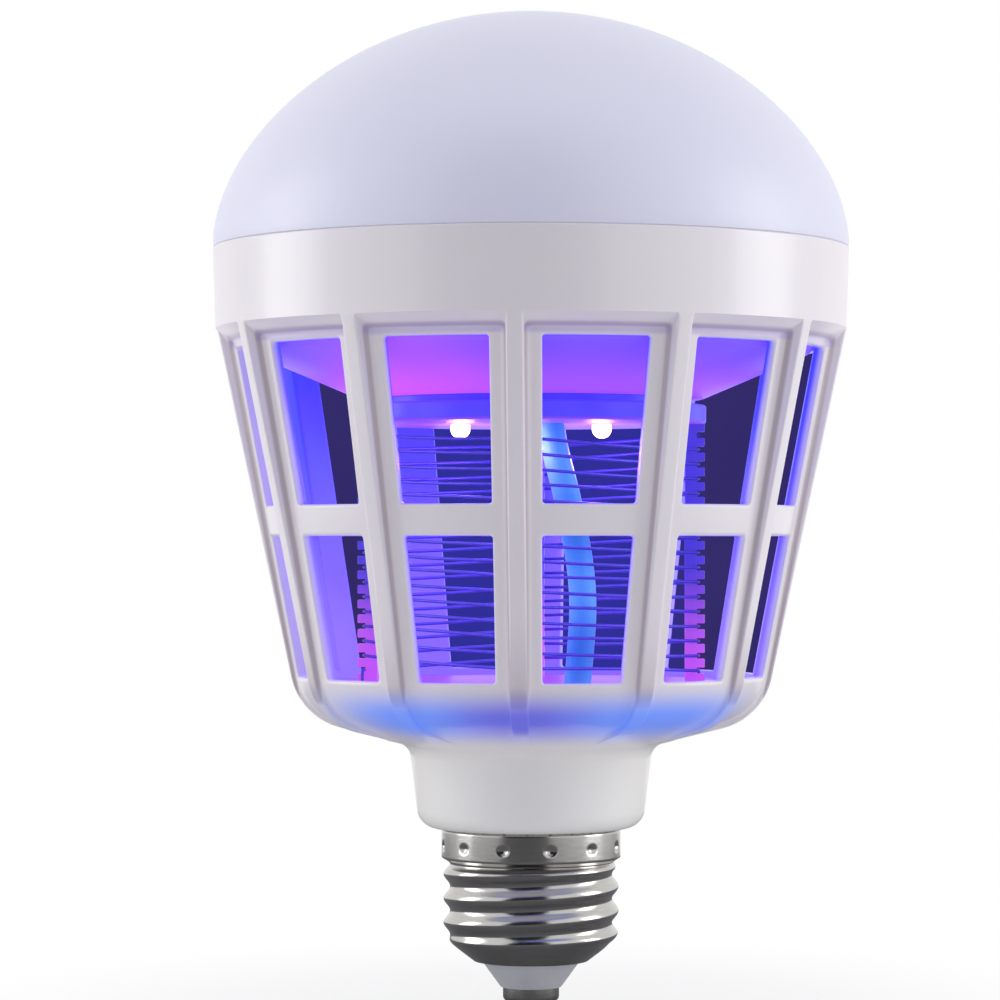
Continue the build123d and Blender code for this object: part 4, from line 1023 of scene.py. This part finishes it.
def screwCap():
    sides = cap["sides"]
    topRows = cap["skirtTop"] - cap["topRound"] * (1 - np.sin(np.linspace(0.15, pi / 2, cap["topRows"])))
    heights = np.concatenate([np.linspace(*rows) for rows in cap["rows"]] + [topRows])
    turns = 2 * pi * np.arange(sides) / sides
    radius = capOutside(*np.meshgrid(heights, turns, indexing="ij"))
    points = []
    for row in range(len(heights)):
        points += [(radius[row, side] * cos(turns[side]), radius[row, side] * sin(turns[side]), heights[row])
                   for side in range(sides)]
    inside = [(cap["collar"], cap["skirtTop"]), (cap["collar"], cap["collarTop"] - cap["collarEdge"]),
              (cap["collar"] - cap["collarEdge"], cap["collarTop"]),
              (cap["collar"] - cap["wall"], cap["collarTop"]),
              (cap["collar"] - cap["wall"], cap["innerSkirtZ"]), (cap["inner"], cap["innerTop"]),
              (cap["inner"], cap["innerFoot"]), (cap["innerMouth"], cap["mouthZ"])]
    for r, height in inside:
        points += [(r * cos(t), r * sin(t), height) for t in turns]
    faces = []
    rows = len(heights) + len(inside)
    joinGrid((rows, sides), faces, 0, True)
    last = (rows - 1) * sides
    faces += [(last + side, last + (side + 1) % sides, (side + 1) % sides, side) for side in range(sides)]
    meshPiece("threadedCapShell", points, faces, nickel, ["screw_shell"], 50)


screwCap()

tip = {"foot": (4.5, 2.9, 0.5), "waist": (7.2, 6.6, 0.25), "edge": (7.42, 6.9), "knee": (11.33, 9.9),
       "top": 10.9, "sides": 96}
insulatorProfile = rounded([(0, tip["foot"][1]), tip["foot"], tip["waist"], tip["edge"],
                            tip["knee"], (tip["knee"][0], tip["top"]), (0, tip["top"])], 6)
points, faces = turned(insulatorProfile, tip["sides"])
meshPiece("capInsulator", points, faces, insulator, ["cap_insulator"])

contact = {"radius": 4.2, "foot": 0.8, "top": 2.9, "round": 0.8, "sides": 72}
contactProfile = rounded([(0, contact["foot"]), (contact["radius"], contact["foot"], contact["round"]),
                          (contact["radius"], contact["top"]), (0, contact["top"])], 8)
points, faces = turned(contactProfile, contact["sides"])
meshPiece("centreContactEyelet", points, faces, nickel, ["centre_contact"])

drop = {"radius": 2.2, "height": 0.8, "sphere": 3.425, "arcSteps": 8, "sides": 48}
dropProfile = [(0, 0.0)]
for step in range(1, drop["arcSteps"] + 1):
    angle = asin(drop["radius"] / drop["sphere"]) * step / drop["arcSteps"]
    dropProfile.append((drop["sphere"] * sin(angle), drop["sphere"] * (1 - cos(angle))))
dropProfile.append((0, drop["height"]))
points, faces = turned(dropProfile, drop["sides"])
meshPiece("contactSolderDrop", points, faces, solder, ["contact_solder"])
print("screw cap ready")


# CAD nodes that keep their own mesh, with a finish each

keptFinishes = {
    "lamp_board": hiddenPart("whiteSolderMaskOnAluminium", "#e9e9e6", "#f3f3f0", 0.35),
    "lamp_led": hiddenPart("yellowPhosphorSilicone", "#e0b53a", "#f0cb52", 0.4, 0.0, 0.8),
    "board_screws": hiddenPart("zincPlatedScrewSteel", "#9d9d9b", "#bcbcb8", 0.3, 1.0, 1.0),
    "head_screws": hiddenPart("zincPlatedCrossScrewSteel", "#9d9d9b", "#bcbcb8", 0.3, 1.0, 1.0),
    "uv_board": hiddenPart("whiteFibreglassBoard", "#dcdce0", "#ececf0", 0.4),
    "lamp_lead_positive": hiddenPart("redPvcLead", "#a3201c", "#c23a30", 0.45),
    "lamp_lead_negative": hiddenPart("blackPvcLead", "#161618", "#26262a", 0.45),
    "hv_lead": hiddenPart("whitePvcHighVoltageLead", "#c9c9c6", "#dededa", 0.45),
    "driver_board": hiddenPart("greenSolderMaskFibreglass", "#174a25", "#22612f", 0.35),
    "bridge_rectifier": hiddenPart("blackMouldedEpoxyBridge", "#121214", "#1f1f22", 0.5),
    "driver_chip": hiddenPart("blackMouldedEpoxyChip", "#141416", "#202024", 0.55),
    "multiplier_capacitor": hiddenPart("blueEpoxyDippedCapacitor", "#1c3f86", "#2a55a6", 0.3),
    "multiplier_diodes": hiddenPart("blackEpoxyDiodes", "#131315", "#222226", 0.5),
    "smoothing_capacitor": hiddenPart("blackSleevedAluminiumCan", "#1a1d2c", "#2a2f44", 0.35),
    "choke_core": hiddenPart("darkSinteredFerrite", "#202022", "#313134", 0.6),
    "choke_winding": hiddenPart("enamelledCopperWinding", "#8a3f1a", "#b35c2a", 0.3, 1.0, 0.6),
    "fusible_resistor": hiddenPart("greenCeramicCoatedResistor", "#4d7a52", "#639468", 0.6),
    "contact_lead": hiddenPart("whitePvcSupplyLead", "#cfcfcc", "#e2e2de", 0.45),
    "shell_lead": hiddenPart("whitePvcShellLead", "#cdcdca", "#e0e0dc", 0.45),
}
for name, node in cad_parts.items():
    finish = [keptFinishes[key] for key in keptFinishes if name.startswith(key)]
    if not finish or node.type != "MESH":
        continue
    node.data.materials.clear()
    node.data.materials.append(finish[0])
    node.data.shade_smooth()
    node.data.set_sharp_from_angle(angle=radians(30))
print("kept nodes finished")


# the stage: floor, world, cards, lamps and camera

# metres and degrees; right and down shift the frame, in pixels of the photograph; sensor is in millimetres
view = {"distance": 0.55, "turn": 2.8, "eye": 0.0698, "width": 0.1498, "right": 31, "down": 40,
        "pixels": 1000, "sensor": 36, "nearest": 0.01}


def seenDirectly(tree):
    # 1 for camera, glossy and transmission rays, so that metal shows the same white as the background
    rays = addNode(tree, "LightPath")
    seen = addNode(tree, "Math", {0: rays["Is Camera Ray"], 1: rays["Is Glossy Ray"]},
                   operation="ADD", use_clamp=True)[0]
    return addNode(tree, "Math", {0: seen, 1: rays["Is Transmission Ray"]},
                   operation="ADD", use_clamp=True)[0]


def flatSheet(name, corners, material):
    mesh = bpy.data.meshes.new(name)
    mesh.from_pydata(corners, [], [(0, 1, 2, 3)])
    mesh.materials.append(material)
    sheet = bpy.data.objects.new(name, mesh)
    bpy.context.scene.collection.objects.link(sheet)
    return sheet


def aimed(place, aim):
    return (Vector(aim) - Vector(place)).to_track_quat("-Z", "Y").to_euler()


studioFloor = {"half": 4, "whites": ("#f4f4f4", "#f8f8f8"), "patch": 40,
               "shade": 0.18, "shadeFade": (0.03, 0.1)}


def stageFloor():
    # a white floor: the camera sees its own shading only within about 100 mm of the bulb's axis
    material, tree, shader = startMaterial("paleStudioFloor")
    coords = addNode(tree, "TexCoord")["Object"]
    setInputs(tree, shader, {
        "Base Color": patchyColour(tree, coords, studioFloor["patch"], *studioFloor["whites"]),
        "Roughness": 0.6})
    distance = addNode(tree, "VectorMath", {0: coords}, operation="LENGTH")["Value"]
    shade = studioFloor["shade"]
    far = softShare(tree, (distance, *studioFloor["shadeFade"]))
    away = addNode(tree, "Math", {0: far, 1: shade, 2: 1 - shade}, operation="MULTIPLY_ADD")[0]
    share = addNode(tree, "Math", {0: seenDirectly(tree), 1: away}, operation="MULTIPLY")[0]
    white = addNode(tree, "Emission", {"Color": "#ffffff", "Strength": 1.0})[0]
    mixed = addNode(tree, "MixShader", {0: share, 1: shader.outputs[0], 2: white})[0]
    setInputs(tree, tree.nodes["Material Output"], {"Surface": mixed})
    half = studioFloor["half"]
    corners = [(-half, -half, 0), (half, -half, 0), (half, half, 0), (-half, half, 0)]
    floor = flatSheet("paleFloor", corners, material)


def stageWorld():
    # white to the camera and in reflections, a weak cool light for everything else
    world = bpy.data.worlds.new("softStudio")
    bpy.context.scene.world = world
    world.use_nodes = True
    tree = world.node_tree
    background = tree.nodes["Background"]
    setInputs(tree, background, {"Color": "#f4f5ff", "Strength": 0.55})
    white = addNode(tree, "Background", {"Color": "#ffffff", "Strength": 1.0})[0]
    mixed = addNode(tree, "MixShader", {0: seenDirectly(tree), 1: background.outputs[0], 2: white})[0]
    setInputs(tree, tree.nodes["World Output"], {"Surface": mixed})


# places and sizes in millimetres; the left side of the outline is a little narrower
paintedShadeBoard = {"back": 60, "foot": 47.5, "top": 101.5, "inset": 2, "leftShare": 0.9, "patch": 25,
              "blues": ("#2f2862", "#372e70"), "middleBlue": "#302f98", "middleFade": (30, 18)}


def paintedShadeCard():
    # painted shade: a dark blue card that stands behind the bulb, in the cage's outline, seen through the far
    # windows as the chamber's shaded inside; it is bluer in the middle
    back, left = paintedShadeBoard["back"], -paintedShadeBoard["leftShare"]
    grow = (view["distance"] + back * mm) / view["distance"]
    eye = view["eye"] / mm
    corners = []
    for z, edge in ((paintedShadeBoard["foot"], left), (paintedShadeBoard["foot"], 1), (paintedShadeBoard["top"], 1),
                    (paintedShadeBoard["top"], left)):
        across = edge * (coneRadius(z) - paintedShadeBoard["inset"]) * grow
        corners.append((across * mm, 0, (eye + (z - eye) * grow) * mm))
    material, tree = startMaterial("paintedShadeBlueCard")[:2]
    coords, place = objectPlace(tree)
    aside = addNode(tree, "Math", {0: place["X"]}, operation="ABSOLUTE")[0]
    night = patchyColour(tree, coords, paintedShadeBoard["patch"], *paintedShadeBoard["blues"], 1.0, 0.4)
    night = addNode(tree, "Mix", {0: softShare(tree, (aside, *paintedShadeBoard["middleFade"])), 6: night,
                                  7: paintedShadeBoard["middleBlue"]}, data_type="RGBA")[2]
    dark = addNode(tree, "Emission", {"Color": night, "Strength": 1.0})[0]
    clear = addNode(tree, "BsdfTransparent")[0]
    behind = addNode(tree, "NewGeometry")["Backfacing"]
    mixed = addNode(tree, "MixShader", {0: behind, 1: dark, 2: clear})[0]
    setInputs(tree, tree.nodes["Material Output"], {"Surface": mixed})
    card = flatSheet("paintedShadeCard", corners, material)
    turn = radians(view["turn"])
    card.location = (-back * mm * sin(turn), back * mm * cos(turn), 0)
    card.rotation_euler = (0, 0, turn)
    card.visible_diffuse = False
    card.visible_glossy = False
    card.visible_shadow = False


flags = {
    "frontFlag": {"place": (-0.037, -0.49, 0.55), "aim": (0, 0, 0.55), "size": (0.56, 1.3),
                  "colour": "#161616"},
    "floorFlag": {"place": (-0.02, -0.38, 0.0006), "aim": (-0.02, -0.38, 1), "size": (0.5, 1.26),
                  "colour": "#7c7c7c"},
}


def darkFlag(name, place, aim, size, colour):
    # a dark card that only glossy rays see: it gives the cap its dark streaks
    across, up = size[0] / 2, size[1] / 2
    material, tree, shader = startMaterial(name + "Cloth")
    setInputs(tree, shader, {"Base Color": colour, "Roughness": 0.9})
    flag = flatSheet(name, [(-across, -up, 0), (across, -up, 0), (across, up, 0), (-across, up, 0)], material)
    flag.location = place
    flag.rotation_euler = aimed(place, aim)
    flag.visible_camera = False
    flag.visible_diffuse = False
    flag.visible_shadow = False
    flag.visible_transmission = False


softboxes = {
    "leftSoftbox": {"place": (-0.85, 0.02, 0.16), "aim": (0, 0, 0.08), "size": (0.4, 0.9), "power": 3.5},
    "rightSoftbox": {"place": (0.85, 0.02, 0.16), "aim": (0, 0, 0.08), "size": (0.4, 0.9), "power": 3.75},
    "topSoftbox": {"place": (0.0, -0.1, 0.95), "aim": (0, 0, 0.1), "size": (0.6, 0.6), "power": 0.9},
}


def softLamp(name, place, aim, size, power):
    data = bpy.data.lights.new(name, "AREA")
    data.shape = "RECTANGLE"
    data.size, data.size_y = size
    data.energy = power
    lamp = bpy.data.objects.new(name, data)
    bpy.context.scene.collection.objects.link(lamp)
    lamp.location = place
    lamp.rotation_euler = aimed(place, aim)


# one small lamp under each ultraviolet LED, weaker at the front one
uvGlow = {"height": 82.6, "size": 1.6, "colour": (0.28, 0.12, 1.0), "powers": (0.012, 0.012, 0.012, 0.004)}


def violetLamp(number):
    name = f"uvGlow{number + 1}"
    turn = pi / 2 * number
    data = bpy.data.lights.new(name, "POINT")
    data.shadow_soft_size = uvGlow["size"] * mm
    data.energy = uvGlow["powers"][number]
    data.color = uvGlow["colour"]
    lamp = bpy.data.objects.new(name, data)
    bpy.context.scene.collection.objects.link(lamp)
    lamp.location = (lens["ring"] * mm * cos(turn), lens["ring"] * mm * sin(turn), uvGlow["height"] * mm)


stageFloor()
stageWorld()
paintedShadeCard()
for name, flag in flags.items():
    darkFlag(name, **flag)
for name, softbox in softboxes.items():
    softLamp(name, **softbox)
for number in range(4):
    violetLamp(number)

cameraData = bpy.data.cameras.new("photoCamera")
cameraData.sensor_width = view["sensor"]
cameraData.sensor_fit = "HORIZONTAL"
cameraData.lens = view["sensor"] * view["distance"] / view["width"]
cameraData.shift_x = -view["right"] / view["pixels"]
cameraData.shift_y = view["down"] / view["pixels"]
cameraData.clip_start = view["nearest"]
camera = bpy.data.objects.new("photoCamera", cameraData)
bpy.context.scene.collection.objects.link(camera)
side = radians(view["turn"])
camera.location = (view["distance"] * sin(side), -view["distance"] * cos(side), view["eye"])
camera.rotation_euler = (radians(90), 0, side)
bpy.context.scene.camera = camera
bpy.context.scene.view_settings.view_transform = "Standard"
print("stage ready")
